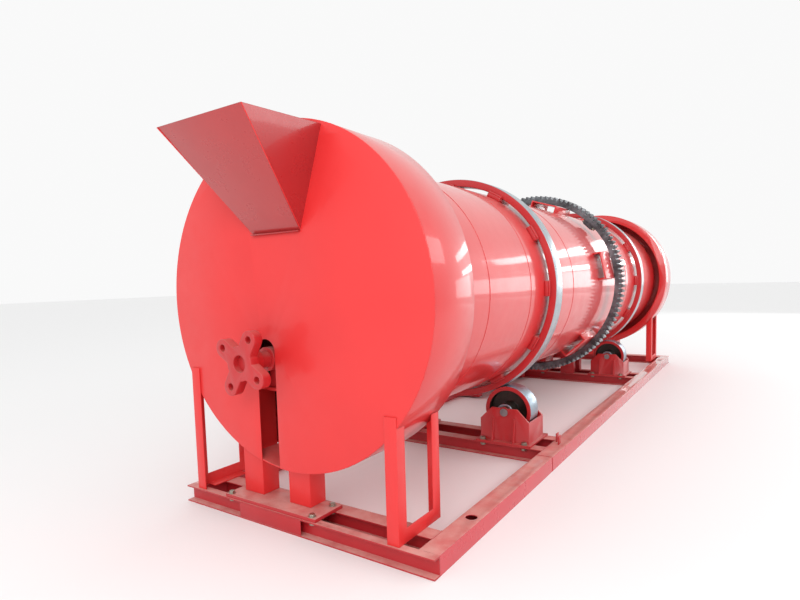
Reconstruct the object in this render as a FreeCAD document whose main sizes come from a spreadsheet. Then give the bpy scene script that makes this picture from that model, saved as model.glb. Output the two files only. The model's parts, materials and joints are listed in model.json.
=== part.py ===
import FreeCAD, Part
import math
import os
import Sketcher

# Rotary drum dryer on a skid frame. Millimetres.
# X runs across the machine, Y from the feed end to the discharge end, Z up.
# The origin is on the floor, in the middle of the anchor bolt rectangle.

SIZES = [
    # skid frame
    ("frame_tail", 100, "frame behind the middle of the rear bearing"),
    ("frame_beyond", 120, "outer face of a side beam beyond the drum shell"),
    ("frame_nose", 18, "frame ahead of the feed face plate"),
    ("beam_height", 100, "all beams"),
    ("side_beam_width", 112, "box section of the side beams"),
    ("side_beam_wall", 6, "box section wall"),
    ("channel_flange", 50, "front and rear channel flange width"),
    ("cross_flange", 100, "H beam flange width"),
    ("flange_thick", 8, "rolled beam flange thickness"),
    ("web_thick", 6, "rolled beam web thickness"),
    ("base_bolt_edge", 30, "base plate edge to its left bolts"),
    ("base_bolt_right", 39, "base plate edge to its right bolts"),
    ("base_bolt_front", 7, "front base bolts behind the face plate"),
    ("base_bolt_back", 172, "back base bolts behind the face plate"),
    ("pedestal_beam", 150, "front edge of the beam under the pedestal"),
    ("rear_post_gap", 110, "rear bearing pedestal behind the discharge hood"),
    ("cover_left", 408, "left edge of the cover plate in the front channel"),
    ("cover_width", 482, "cover plate in the front channel"),
    ("bracket_bolt", 30, "roller bracket bolts inside the bracket's side"),
    ("roller_edge", 4, "bevel of the roller tread"),
    ("roller_play", 2, "roller boss to the bracket cheeks"),
    ("axle_end", 10, "axle beyond the bracket at each end"),
    ("rib_drop", 44, "top of the bracket ribs below the axle"),
    ("thrust_below", 6, "thrust roller foot below the ring's tread"),
    ("thrust_collar", 24, "collar under the thrust roller"),
    ("thrust_ledge", 12, "collar beyond the thrust pin"),
    ("thrust_socket", 20, "thrust pin into its pedestal"),
    ("thrust_tip", 16, "thrust pin above its roller"),
    ("thrust_block", 160, "thrust pedestal across the machine"),
    ("thrust_block_deep", 96, "thrust pedestal along the machine"),
    ("breaker_tail", 80, "breaker shaft behind the rear bearing"),
    ("shaft_room", 12, "room round the breaker shaft at the back plate"),
    ("chute_inset", 20, "discharge chute inside the hood's ends"),
    ("gas_length", 110, "gas outlet pipe"),
    ("gas_rim", 12, "gas outlet flange thickness"),
    ("gas_holes", 12, "gas outlet flange holes"),
    ("rear_leg_inset", 173, "outer face of the rear legs inside the hood's side"),
    ("rear_leg_front", 20, "rear legs ahead of the discharge hood"),
    ("rear_leg_back", 10, "rear legs inside the hood's back"),
    ("deck_inner", 540, "inner edge of the drive deck from the drum axis"),
    ("deck_beam", 100, "drive deck outrigger beams"),
    ("deck_inset", 20, "outriggers inside the deck's ends, and above the ground"),
    ("pinion_overhang", 170, "pinion shaft ahead of the pinion"),
    ("reducer_bore", 110, "pinion shaft into the reducer"),
    ("block_wall", 38, "pillow block wall"),
    ("block_foot", 36, "pillow block foot thickness"),
    ("block_base", 14, "pillow block sole plate thickness"),
    ("block_inset", 10, "pinion pedestal inside its sole plate"),
    ("block_gap", 105, "pinion side to the middle of each pillow block"),
    ("coupling_length", 100, "shaft couplings"),
    ("coupling_gap", 20, "pinion coupling to the reducer"),
    ("coupling_wall", 22, "pinion coupling hub wall"),
    ("pinion_ring", 44, "pinion coupling ring width"),
    ("pinion_ring_rise", 55, "pinion coupling ring above the shaft"),
    ("reducer_low", 170, "reducer foot below its shafts"),
    ("reducer_high", 165, "reducer top above its shafts"),
    ("reducer_left", 100, "reducer casing beyond the input shaft"),
    ("reducer_right", 126, "reducer casing beyond the output shaft"),
    ("split_lip", 16, "reducer split flange beyond the casing"),
    ("split_thick", 24, "reducer split flange thickness"),
    ("input_radius", 25, "reducer input shaft"),
    ("plinth_inset", 10, "reducer plinth inside the casing's ends"),
    ("motor_gap", 150, "reducer to the motor's front"),
    ("motor_nose", 25, "motor coupling to the motor"),
    ("motor_hub", 44, "motor coupling hub radius"),
    ("motor_ring", 34, "motor coupling ring width"),
    ("motor_ring_radius", 68, "motor coupling ring radius"),
    ("shaft_stop", 40, "end of the motor shaft inside the motor"),
    ("motor_flange", 14, "motor front flange thickness"),
    ("motor_flange_rise", 20, "motor front flange above the frame"),
    ("motor_inset", 30, "motor plinth inside the motor's ends"),
    ("motor_foot", 240, "motor plinth across the machine"),
    ("motor_saddle", 70, "top of the motor plinth below the shaft"),
    ("terminal_wide", 120, "terminal box across the motor"),
    ("terminal_long", 130, "terminal box along the motor"),
    ("terminal_high", 70, "terminal box height"),
    ("terminal_back", 60, "terminal box behind the motor's front"),
    ("terminal_sunk", 6, "terminal box into the motor frame"),
    ("fan_rise", 6, "fan cover above the motor frame"),
    ("fan_length", 70, "fan cover length"),
    ("stop_plate_lag", 124, "back upright plate behind the front ring's face"),
    ("stop_plate_height", 66, "upright plates on the right side beam"),
    ("anchor_inset", 484, "anchor holes inside the frame's ends"),
    ("anchor_radius", 11, "anchor hole radius for M20"),
    ("anchor_slot", 32, "hand hole above each anchor hole, radius"),
    # drum
    ("roller_clear", 35.6946, "support roller above its bracket's base plate"),
    ("shell_radius", 780, "drum shell, outside"),
    ("shell_wall", 12, "drum shell wall"),
    ("drum_front", 262, "front edge of the shell behind the face plate"),
    ("drum_length", 6140, "drum shell length"),
    ("dam_depth", 158, "end dam inwards from the shell's inside"),
    ("dam_thick", 10, "end dam plate"),
    ("tyre_thick", 54, "riding ring, radial"),
    ("filler_thick", 26, "filler bar between the shell and a ring"),
    ("tyre_width", 140, "riding ring width"),
    ("tyre_edge", 5, "riding ring edge chamfer"),
    ("front_tyre", 1836, "front face of the feed end ring"),
    ("rear_tyre_end", 1388, "front face of the discharge end ring to the shell's end"),
    ("pad_count", 12, "filler bars under each ring"),
    ("pad_angle", 8, "arc of one filler bar"),
    ("pad_width", 200, "filler bar length along the drum"),
    ("stop_height", 40, "top of a ring stop block above the shell"),
    ("stop_width", 26, "ring stop block along the drum"),
    ("flight_count", 12, "rows of lifting flights"),
    ("flight_depth", 92, "lifting flight, radial"),
    ("flight_plate", 8, "lifting flight plate"),
    ("flight_lip", 60, "lifting flight turned lip"),
    ("flight_start", 420, "first flight behind the shell edge"),
    # girth gear and pinion
    ("gear_module", 16, "tooth module"),
    ("gear_rim", 60, "pitch circle of the girth gear outside its bore"),
    ("pinion_teeth", 19, "pinion teeth"),
    ("gear_face", 3652, "front face of the girth gear"),
    ("gear_width", 130, "girth gear face width"),
    ("spring_rise", 72, "girth gear's bore outside the shell"),
    ("gear_backlash", 1.6, "tooth gap at the pitch circle"),
    ("spring_count", 6, "folded plates that carry the girth gear"),
    ("spring_half", 130, "half width of a folded plate"),
    ("spring_thick", 14, "folded plate thickness"),
    ("spring_overhang", 330, "folded plate ahead of the gear"),
    ("spring_turn", 18, "first folded plate off the upright"),
    ("pinion_width", 150, "pinion face width"),
    ("pinion_angle", 40, "pinion from straight below the drum"),
    # support rollers
    ("roller_radius", 184, "support roller"),
    ("roller_width", 160, "support roller"),
    ("roller_rim", 34, "support roller rim thickness"),
    ("roller_web", 34, "support roller web thickness"),
    ("roller_hub", 62, "support roller hub radius"),
    ("roller_angle", 27.5, "roller from straight below the drum"),
    ("roller_gap", 0.3, "between roller and riding ring"),
    ("axle_radius", 30, "roller axle"),
    ("bush_wall", 8, "roller bush wall"),
    ("running_gap", 0.05, "radial clearance of running fits"),
    ("bracket_length", 300, "bracket over its two cheek plates, along the drum"),
    ("bracket_half", 194, "half width of a bracket cheek plate"),
    ("bracket_plate", 14, "bracket plate"),
    ("bracket_base", 16, "bracket base plate"),
    ("bracket_shoulder", 62, "cheek corner below the roller centre"),
    ("bracket_flat", 92, "cheek corner cut, sideways"),
    ("bracket_crown", 30, "cheek top above the roller centre"),
    ("rib_offset", 84, "bracket rib from the roller centre"),
    ("rib_reach", 45, "bracket rib at its foot"),
    ("bracket_toe", 24, "base plate beyond the end plates"),
    ("bolt_radius", 12, "M24 bolts"),
    ("base_bolt", 10, "M20 bolts of the pedestal base plate, radius"),
    ("bolt_gap", 1, "bolt hole clearance"),
    # thrust rollers
    ("thrust_radius", 70, "thrust roller"),
    ("thrust_height", 40, "thrust roller"),
    ("thrust_pin", 22, "thrust roller pin radius"),
    # feed hood
    ("hood_gap", 140, "feed hood's outside beyond the drum shell"),
    ("hood_depth", 388, "feed hood, front to back"),
    ("hood_plate", 6, "hood plate"),
    ("seal_gap", 12, "hood ring to the drum shell"),
    ("slot_half", 70, "half width of the face plate slot"),
    ("breaker_across", 148, "breaker shaft left of the drum axis"),
    ("breaker_below", 318, "breaker shaft below the drum axis"),
    ("slot_rise", 40, "slot centre above the breaker shaft"),
    ("hopper_across", 26, "hopper centre left of the drum axis"),
    ("hopper_foot", 174, "half width of the hopper foot"),
    ("hopper_back", 340, "half width of the hopper top at the face"),
    ("hopper_mouth", 300, "half width of the hopper outer lip"),
    ("hopper_reach", 451, "hopper lip ahead of the face plate"),
    ("hopper_low", 356, "hopper foot above the drum axis"),
    ("hopper_high", 851, "hopper lip above the drum axis"),
    ("hopper_plate", 5, "hopper plate"),
    ("foot_lip", 20, "turned lip under the hopper"),
    ("feed_margin", 14, "hopper foot to the opening in the face plate"),
    ("feed_top", 60, "opening below the top of the hopper"),
    ("feed_side", 56, "opening inside the top corners of the hopper"),
    ("chute_reach", 430, "end of the feed chute behind the face plate"),
    ("chute_drop", 120, "end of the feed chute above the drum axis"),
    ("chute_wall", 150, "side wall of the feed chute"),
    ("leg_overlap", 60, "legs run up past the hood's edge"),
    ("leg_width", 70, "angle iron legs"),
    ("leg_thick", 7, "angle iron legs"),
    ("leg_right_inset", 216, "outer face of the right legs inside the hood's side"),
    ("leg_left_inset", 120, "outer face of the left legs inside the hood's side"),
    ("leg_back", 316, "front of the rear pair of hood legs"),
    # breaker shaft and its pedestals
    ("breaker_radius", 45, "breaker shaft"),
    ("flange_front", 184, "front of the coupling flange ahead of the face plate"),
    ("breaker_nose", 150, "shaft end ahead of the face plate"),
    ("breaker_reach", 225, "beater arm tip from the shaft centre"),
    ("arm_radius", 14, "beater arm"),
    ("arm_count", 20, "pairs of beater arms"),
    ("arm_turn", 55, "turn from one pair of arms to the next"),
    ("arm_margin", 200, "first pair of arms behind the first flight"),
    ("flange_pitch", 148, "coupling flange bolt circle radius"),
    ("flange_thick_hub", 55, "coupling flange"),
    ("flange_lug", 48, "coupling flange lug radius"),
    ("flange_core", 92, "coupling flange core radius"),
    ("flange_neck", 69, "hub radius behind the coupling flange"),
    ("flange_hole", 20, "coupling flange hole radius"),
    ("flange_turn", 31, "coupling flange lugs off the upright"),
    ("post_width", 160, "pedestal post"),
    ("post_depth", 126, "pedestal post"),
    ("post_left", 470, "left face of the left post"),
    ("post_right", 100, "left face of the right post"),
    ("post_front", 83, "front of the posts behind the face plate"),
    ("cap_thick", 18, "pedestal cap plate"),
    ("cap_drop", 174, "pedestal cap top below the shaft centre"),
    ("post_wall", 8, "pedestal post wall"),
    ("post_room", 8, "room round a post where it passes the hood"),
    ("cap_edge", 10, "cap plate beyond the posts"),
    ("base_left", 530, "left edge of the base plate from the drum axis"),
    ("base_right", 179, "right edge of the base plate from the drum axis"),
    ("base_front", 14, "base plate ahead of the face plate"),
    ("base_thick", 20, "pedestal base plate"),
    ("rear_post_depth", 90, "rear bearing pedestal, along the drum"),
    ("rear_pad", 16, "pads of the rear bearing pedestal"),
    ("bearing_length", 116, "breaker shaft bearing housing"),
    ("bearing_radius", 66, "breaker shaft bearing housing"),
    ("bearing_ear", 34, "bearing foot beyond the housing at each side"),
    ("bearing_foot", 26, "bearing foot thickness"),
    ("bearing_nose", 88, "front bearing housing ahead of its foot"),
    # discharge hood
    ("rear_lap", 82, "discharge hood over the end of the shell"),
    ("rear_depth", 420, "discharge hood, front to back"),
    ("rear_gap", 157, "discharge hood's outside beyond the drum shell"),
    ("rear_seal", 70, "opening of its front ring beyond the drum shell"),
    ("gas_radius", 200, "gas outlet pipe, outside"),
    ("gas_flange", 260, "gas outlet flange radius"),
    ("gas_pitch", 235, "gas outlet bolt circle radius"),
    ("gas_hole", 9, "gas outlet bolt hole radius"),
    ("gas_across", 330, "gas outlet right of the drum axis"),
    ("gas_up", 360, "gas outlet above the drum axis"),
    ("chute_half", 260, "half width of the discharge chute"),
    ("chute_foot", 150, "chute mouth above the floor"),
    # drive
    ("shaft_radius", 45, "pinion shaft"),
    ("deck_thick", 16, "drive deck plate"),
    ("deck_beyond", 300, "drive deck beyond the side beam"),
    ("deck_ahead", 232, "drive deck ahead of the girth gear"),
    ("deck_length", 1460, "drive deck, along the drum"),
    ("block_half", 120, "pillow block half width"),
    ("block_length", 90, "pillow block, along the shaft"),
    ("block_height", 92, "pillow block foot below the shaft centre"),
    ("reducer_back", 428, "reducer casing behind the girth gear's front"),
    ("reducer_length", 300, "reducer casing, along the shaft"),
    ("reducer_offset", 230, "input shaft outboard of the output shaft"),
    ("motor_radius", 130, "motor frame"),
    ("motor_length", 330, "motor frame"),
]

doc = FreeCAD.newDocument("rotary_drum_dryer")
sheet = doc.addObject("Spreadsheet::Sheet", "Sizes")
for row, (alias, number, note) in enumerate(SIZES, start=1):
    sheet.set(f"A{row}", note)
    sheet.set(f"B{row}", str(number))
    sheet.setAlias(f"B{row}", alias)
doc.recompute()


class Size:
    """A length or angle that carries its number and its spreadsheet expression."""

    def __init__(self, number, text):
        self.number = float(number)
        self.text = text

    def __add__(self, other):
        other = sized(other)
        return Size(self.number + other.number, f"({self.text} + {other.text})")

    def __sub__(self, other):
        other = sized(other)
        return Size(self.number - other.number, f"({self.text} - {other.text})")

    def __mul__(self, other):
        other = sized(other)
        return Size(self.number * other.number, f"({self.text} * {other.text})")

    def __truediv__(self, other):
        other = sized(other)
        return Size(self.number / other.number, f"({self.text} / {other.text})")

    def __radd__(self, other):
        return sized(other) + self

    def __rsub__(self, other):
        return sized(other) - self

    def __rmul__(self, other):
        return sized(other) * self

    def __neg__(self):
        return Size(-self.number, f"(-1 * {self.text})")


def sized(thing):
    if isinstance(thing, Size):
        return thing
    return Size(thing, f"({thing})")


def sine(angle):
    return Size(math.sin(math.radians(angle.number)), f"sin({angle.text})")


def cosine(angle):
    return Size(math.cos(math.radians(angle.number)), f"cos({angle.text})")


def whole_above(amount):
    return Size(math.ceil(amount.number), f"ceil({amount.text})")


def root(amount):
    return Size(math.sqrt(amount.number), f"sqrt({amount.text})")


class Named:
    """The sheet's sizes as attributes."""


s = Named()
for alias, number, note in SIZES:
    setattr(s, alias, Size(sheet.get(alias), f"Sizes.{alias}"))

ALONG_X = FreeCAD.Rotation(FreeCAD.Vector(0, 1, 0), 90)
ALONG_Y = FreeCAD.Rotation(FreeCAD.Vector(1, 0, 0), -90)
ALONG_Z = FreeCAD.Rotation()
parts = []


def bind(thing, name, amount):
    if isinstance(amount, Size):
        thing.setExpression(name, amount.text)
    else:
        setattr(thing, name, amount)


def place(thing, at, turn=ALONG_Z):
    at = [sized(value) for value in at]
    base = FreeCAD.Vector(*[value.number for value in at])
    thing.Placement = FreeCAD.Placement(base, turn)
    for letter, value in zip("xyz", at):
        thing.setExpression(f"Placement.Base.{letter}", value.text)
    return thing


def box(at, size, turn=ALONG_Z):
    thing = doc.addObject("Part::Box", "Block")
    for name, amount in zip(("Length", "Width", "Height"), size):
        bind(thing, name, amount)
    return place(thing, at, turn)


def rod(at, radius, length, turn=ALONG_Y):
    thing = doc.addObject("Part::Cylinder", "Rod")
    bind(thing, "Radius", radius)
    bind(thing, "Height", length)
    return place(thing, at, turn)


def hexagon(at, radius, length, turn=ALONG_Z):
    thing = doc.addObject("Part::Prism", "Hexagon")
    thing.Polygon = 6
    bind(thing, "Circumradius", radius)
    bind(thing, "Height", length)
    return place(thing, at, turn)


def joined(things):
    thing = doc.addObject("Part::MultiFuse", "Joined")
    thing.Shapes = things
    return thing


def grouped(things):
    thing = doc.addObject("Part::Compound", "Group")
    thing.Links = things
    return thing


def cut(base, tools):
    thing = doc.addObject("Part::Cut", "Trimmed")
    thing.Base = base
    thing.Tool = tools[0] if len(tools) == 1 else grouped(tools)
    return thing


def part(label, thing):
    thing.Label = label
    parts.append(thing)
    return thing


def sketch(body, role, outlines, circles=()):
    plane = next(item for item in body.Origin.OriginFeatures if item.Role == role)
    drawn = body.newObject("Sketcher::SketchObject", "Profile")
    drawn.AttachmentSupport = (plane, "")
    drawn.MapMode = "FlatFace"

    def pin_point(index, end, across, up):
        for kind, axis, amount in (("DistanceX", -2, across), ("DistanceY", -1, up)):
            if abs(amount.number) < 1e-9:
                drawn.addConstraint(Sketcher.Constraint("PointOnObject", index, end, axis))
                continue
            rule = Sketcher.Constraint(kind, -1, 1, index, end, amount.number)
            number = drawn.addConstraint(rule)
            drawn.setExpression(f"Constraints[{number}]", amount.text)

    for outline in outlines:
        corners = [(sized(across), sized(up)) for across, up in outline]
        first = drawn.GeometryCount
        count = len(corners)
        for index in range(count):
            start, end = corners[index], corners[(index + 1) % count]
            drawn.addGeometry(Part.LineSegment(
                FreeCAD.Vector(start[0].number, start[1].number, 0),
                FreeCAD.Vector(end[0].number, end[1].number, 0)))
        for index in range(count):
            following = first + (index + 1) % count
            drawn.addConstraint(Sketcher.Constraint("Coincident", first + index, 2, following, 1))
        for index, (across, up) in enumerate(corners):
            pin_point(first + index, 1, across, up)
    for across, up, radius in circles:
        across, up, radius = sized(across), sized(up), sized(radius)
        centre = FreeCAD.Vector(across.number, up.number, 0)
        index = drawn.addGeometry(Part.Circle(centre, FreeCAD.Vector(0, 0, 1), radius.number))
        number = drawn.addConstraint(Sketcher.Constraint("Radius", index, radius.number))
        drawn.setExpression(f"Constraints[{number}]", radius.text)
        pin_point(index, 3, across, up)
    return drawn


def plate(role, outlines, depth, at, circles=(), backwards=False, turn=ALONG_Z):
    """A body padded from one sketch; XZ profiles grow towards -Y unless turned backwards."""
    body = doc.addObject("PartDesign::Body", "Body")
    profile = sketch(body, role, outlines, circles)
    pad = body.newObject("PartDesign::Pad", "Pad")
    pad.Profile = profile
    bind(pad, "Length", depth)
    pad.Reversed = backwards
    body.Tip = pad
    return place(body, at, turn)


def turned(outline, at, angle=360.0, count=1, turn=ALONG_Z):
    """A body revolved about Y from (radius, along) corners, as a ring or as equal sectors."""
    body = doc.addObject("PartDesign::Body", "Body")
    profile = sketch(body, "XY_Plane", [outline])
    spin = body.newObject("PartDesign::Revolution", "Revolution")
    spin.Profile = profile
    spin.ReferenceAxis = (profile, ["V_Axis"])
    bind(spin, "Angle", angle)
    spin.Midplane = True
    body.Tip = spin
    if not isinstance(count, int) or count > 1:
        body.AllowCompound = True
        pattern = body.newObject("PartDesign::PolarPattern", "Pattern")
        pattern.Originals = [spin]
        pattern.Axis = (profile, ["V_Axis"])
        pattern.Angle = 360
        bind(pattern, "Occurrences", count)
        body.Tip = pattern
    return place(body, at, turn)


def rectangle(left, low, right, high):
    return [(left, low), (right, low), (right, high), (left, high)]


def h_section(centre, width, height, flange, web):
    half, slim = width / 2, web / 2
    return [
        (centre - half, 0), (centre + half, 0), (centre + half, flange), (centre + slim, flange),
        (centre + slim, height - flange), (centre + half, height - flange),
        (centre + half, height), (centre - half, height), (centre - half, height - flange),
        (centre - slim, height - flange), (centre - slim, flange), (centre - half, flange)]


def channel_section(back, open_edge, height, flange, web_edge):
    """Corners of a channel whose web lies from back to web_edge."""
    return [
        (back, 0), (open_edge, 0), (open_edge, flange), (web_edge, flange),
        (web_edge, height - flange), (open_edge, height - flange), (open_edge, height),
        (back, height)]


def bolt(at, grip, radius=s.bolt_radius, turn=ALONG_Z, side=1):
    """Head, shank and nut along the turned Z axis; at is the under side of the head."""
    head = radius * 1.3
    washer = radius * 0.35
    out = turn.multVec(FreeCAD.Vector(0, 0, 1)) * side
    at = [sized(value) for value in at]

    def along(amount):
        return [value + amount * direction for value, direction in zip(at, out)]

    def low(start, length):
        return along(start) if side > 0 else along(start + length)

    pieces = [
        rod(low(sized(0), washer), radius * 1.8, washer, turn),
        hexagon(low(washer, head), radius * 1.75, head, turn),
        rod(low(-grip - radius * 2.2, grip + radius * 2.2), radius, grip + radius * 2.2, turn),
        hexagon(low(-grip - radius * 1.6, radius * 1.6), radius * 1.75, radius * 1.6, turn)]
    return joined(pieces)


# sizes that follow from others
inside = s.shell_radius - s.shell_wall
dam_radius = inside - s.dam_depth
tyre_bore = s.shell_radius + s.filler_thick
tyre_radius = tyre_bore + s.tyre_thick
gear_bore = s.shell_radius + s.spring_rise
gear_teeth = whole_above((gear_bore + s.gear_rim) * 2 / s.gear_module)
hood_radius = s.shell_radius + s.hood_gap
rear_radius = s.shell_radius + s.rear_gap
rear_opening = s.shell_radius + s.rear_seal
drum_end = s.drum_front + s.drum_length
rear_tyre = drum_end - s.rear_tyre_end
rear_face = drum_end - s.rear_lap
rear_back = rear_face + s.rear_depth
frame_length = s.frame_nose + rear_back + s.rear_post_gap + s.frame_tail
anchor_pitch = frame_length - 2 * s.anchor_inset
roller_throw = tyre_radius + s.roller_radius + s.roller_gap
roller_height = s.beam_height + s.bracket_base + s.roller_clear + s.roller_radius
half_width = s.shell_radius + s.frame_beyond

# places along the machine
face = s.frame_nose - frame_length / 2
frame_front = -frame_length / 2
axis = roller_height + roller_throw * cosine(s.roller_angle)
deck = s.beam_height
inner_edge = half_width - s.side_beam_width
base_left, base_right = -s.base_left, s.base_right
roller_across = roller_throw * sine(s.roller_angle)
breaker_x = -s.breaker_across
breaker_z = axis - s.breaker_below
pinion_throw = s.gear_module * (gear_teeth + s.pinion_teeth) / 2
pinion_x = -pinion_throw * sine(s.pinion_angle)
pinion_z = axis - pinion_throw * cosine(s.pinion_angle)
tyres = {"front": s.front_tyre, "rear": rear_tyre}
sides = {"right": 1, "left": -1}


# Skid frame -----------------------------------------------------------------

def side_beam(side_name, side):
    width, height, wall = s.side_beam_width, s.beam_height, s.side_beam_wall
    centre = side * (half_width - width / 2)
    start, length = frame_front + s.channel_flange, frame_length - 2 * s.channel_flange
    outer = rectangle(centre - width / 2, 0, centre + width / 2, height)
    inner = rectangle(centre - width / 2 + wall, wall, centre + width / 2 - wall, height - wall)
    tube = plate("XZ_Plane", [outer, inner], length, (0, start, 0), backwards=True)
    holes = []
    for end in (-1, 1):
        along = end * anchor_pitch / 2
        holes.append(rod((centre, along, -1), s.anchor_radius, height / 2, ALONG_Z))
        holes.append(rod((centre, along, height / 2), s.anchor_slot, height, ALONG_Z))
    part(f"side_beam_{side_name}", cut(tube, holes))


def end_channel(front_edge, faces_front):
    flange, web = s.channel_flange, s.web_thick
    near, far = front_edge, front_edge + flange
    back, open_edge = (far, near) if faces_front else (near, far)
    web_edge = back - web if faces_front else back + web
    corners = channel_section(back, open_edge, s.beam_height, s.flange_thick, web_edge)
    return plate("YZ_Plane", [corners], half_width * 2, (-half_width, 0, 0))


def h_beam(centre, left, right):
    corners = h_section(centre, s.cross_flange, s.beam_height, s.flange_thick, s.web_thick)
    return plate("YZ_Plane", [corners], right - left, (left, 0, 0))


def bracket_bolt_places(tyre_y, side):
    middle = face + tyre_y + s.tyre_width / 2
    reach = s.bracket_length / 2 + s.rib_reach / 2
    across = s.bracket_half - s.bracket_bolt
    return [(side * roller_across + way * across, middle + end * reach)
            for way in (-1, 1) for end in (-1, 1)]


def base_bolt_places():
    left, right = base_left + s.base_bolt_edge, base_right - s.base_bolt_right
    return [(x, face + y) for x in (left, right) for y in (s.base_bolt_front, s.base_bolt_back)]


def station_beams(tyre_y):
    middle = face + tyre_y + s.tyre_width / 2
    spread = s.bracket_length / 2 + s.rib_reach - s.cross_flange / 2
    places = bracket_bolt_places(tyre_y, 1) + bracket_bolt_places(tyre_y, -1)
    beams = []
    for end in (-1, 1):
        beam = h_beam(middle + end * spread, -inner_edge, inner_edge)
        near = [spot for spot in places if (spot[1].number - middle.number) * end > 0]
        holes = [rod((x, y, deck - s.flange_thick - 1), s.bolt_radius + s.bolt_gap,
                     s.flange_thick + 2, ALONG_Z) for x, y in near]
        beams.append(cut(beam, holes))
    return beams


for side_name, side in sides.items():
    side_beam(side_name, side)
front_channel = end_channel(frame_front, True)
base_holes = [rod((x, y, deck - s.flange_thick - 1), s.base_bolt + s.bolt_gap,
                  s.flange_thick + 2, ALONG_Z) for x, y in base_bolt_places()]
rear_channel = end_channel(-frame_front - s.channel_flange, False)
part("end_channels", grouped([cut(front_channel, base_holes[0::2]), rear_channel]))
pedestal_beam = h_beam(face + s.pedestal_beam + s.cross_flange / 2, -inner_edge, inner_edge)
rear_pedestal_beam = h_beam(face + rear_back + s.rear_post_gap, -inner_edge, inner_edge)
part("pedestal_cross_beams", grouped([cut(pedestal_beam, base_holes[1::2]), rear_pedestal_beam]))
part("station_cross_beams", grouped(station_beams(s.front_tyre) + station_beams(rear_tyre)))
cover_plate = box((-s.cover_left, frame_front + 1, s.flange_thick),
                  (s.cover_width, s.web_thick, s.beam_height - 2 * s.flange_thick))
stop_plates = [box((inner_edge + 20 + 34 * step, face + s.front_tyre + s.stop_plate_lag - 60 * step, deck),
                   (s.flange_thick, 50, s.stop_plate_height)) for step in (0, 1)]
part("frame_plates", grouped([cover_plate] + stop_plates))


# Drum -----------------------------------------------------------------------

def drum_place(start):
    return (0, face + start, axis)


def drum_ring(inner, outer, start, length, angle=360.0, count=1):
    return turned(rectangle(inner, 0, outer, length), drum_place(start), angle, count)


def around(outline, depth, at, count, turn=ALONG_Z):
    """Equal pads round the drum from one profile drawn across it."""
    body = doc.addObject("PartDesign::Body", "Body")
    profile = sketch(body, "XZ_Plane", [outline])
    pad = body.newObject("PartDesign::Pad", "Pad")
    pad.Profile = profile
    bind(pad, "Length", depth)
    pad.Reversed = True
    body.Tip = pad
    body.AllowCompound = True
    pattern = body.newObject("PartDesign::PolarPattern", "Pattern")
    pattern.Originals = [pad]
    pattern.Axis = (profile, ["N_Axis"])
    pattern.Angle = 360
    bind(pattern, "Occurrences", count)
    body.Tip = pattern
    return place(body, at, turn)


part("drum_shell", drum_ring(inside, s.shell_radius, s.drum_front, s.drum_length))
part("feed_end_dam", drum_ring(dam_radius, inside, s.drum_front, s.dam_thick))


def riding_ring(name, start):
    edge, outer, width = s.tyre_edge, tyre_radius, s.tyre_width
    outline = [(tyre_bore, 0), (outer - edge, 0), (outer, edge), (outer, width - edge),
               (outer - edge, width), (tyre_bore, width)]
    part(f"{name}_riding_ring", turned(outline, drum_place(start)))
    pad_start = start + s.tyre_width / 2 - s.pad_width / 2
    filler_bars.append(drum_ring(s.shell_radius, tyre_bore, pad_start, s.pad_width,
                                 s.pad_angle, s.pad_count))
    top = s.shell_radius + s.stop_height
    for stop_start in (start - s.stop_width, start + s.tyre_width):
        ring_stops.append(drum_ring(tyre_bore, top, stop_start, s.stop_width,
                                    s.pad_angle, s.pad_count))


filler_bars, ring_stops = [], []
for name, start in tyres.items():
    riding_ring(name, start)
part("ring_filler_bars", grouped(filler_bars))
part("ring_stops", grouped(ring_stops))

flight_foot = root(inside * inside - s.flight_plate * s.flight_plate)
flight_top = flight_foot - s.flight_depth
flight_outline = [(0, flight_foot), (0, flight_top), (s.flight_lip, flight_top),
                  (s.flight_lip, flight_top + s.flight_plate),
                  (s.flight_plate, flight_top + s.flight_plate), (s.flight_plate, flight_foot)]
part("lifting_flights", around(flight_outline, s.drum_length - 2 * s.flight_start,
                               drum_place(s.drum_front + s.flight_start), s.flight_count))


# Girth gear and pinion --------------------------------------------------------

def gear_shape(module, teeth, bore, width, backlash, facing):
    """Involute spur gear about Y; a tooth (or a gap, for the ring) faces the given angle."""
    pitch = module * teeth / 2
    base = pitch * math.cos(math.radians(20))
    tip, low = pitch + module, pitch - 1.25 * module
    half_tooth = (math.pi * module - backlash) / 4 / pitch

    def roll(radius):
        lean = math.acos(min(1.0, base / radius))
        return math.tan(lean) - lean

    steps = 4
    start = max(low, base)
    radii = [start + (tip - start) * step / steps for step in range(steps + 1)]
    if low < base:
        radii.insert(0, low)
    corners = []
    for tooth in range(teeth):
        middle = facing + tooth * 2 * math.pi / teeth
        for side, order in ((-1, radii), (1, radii[::-1])):
            for radius in order:
                angle = middle + side * (half_tooth + roll(pitch) - roll(radius))
                corners.append(FreeCAD.Vector(radius * math.cos(angle), 0, radius * math.sin(angle)))
    blank = Part.Face(Part.makePolygon(corners + corners[:1]))
    hole = Part.Face(Part.Wire(Part.makeCircle(bore, FreeCAD.Vector(), FreeCAD.Vector(0, 1, 0))))
    return blank.cut(hole).extrude(FreeCAD.Vector(0, width, 0))


def gear_part(label, teeth, bore, width, facing, at):
    thing = doc.addObject("Part::Feature", "Gear")
    thing.Shape = gear_shape(s.gear_module.number, int(teeth.number), bore.number, width.number,
                             s.gear_backlash.number, facing)
    return part(label, place(thing, at))


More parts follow.
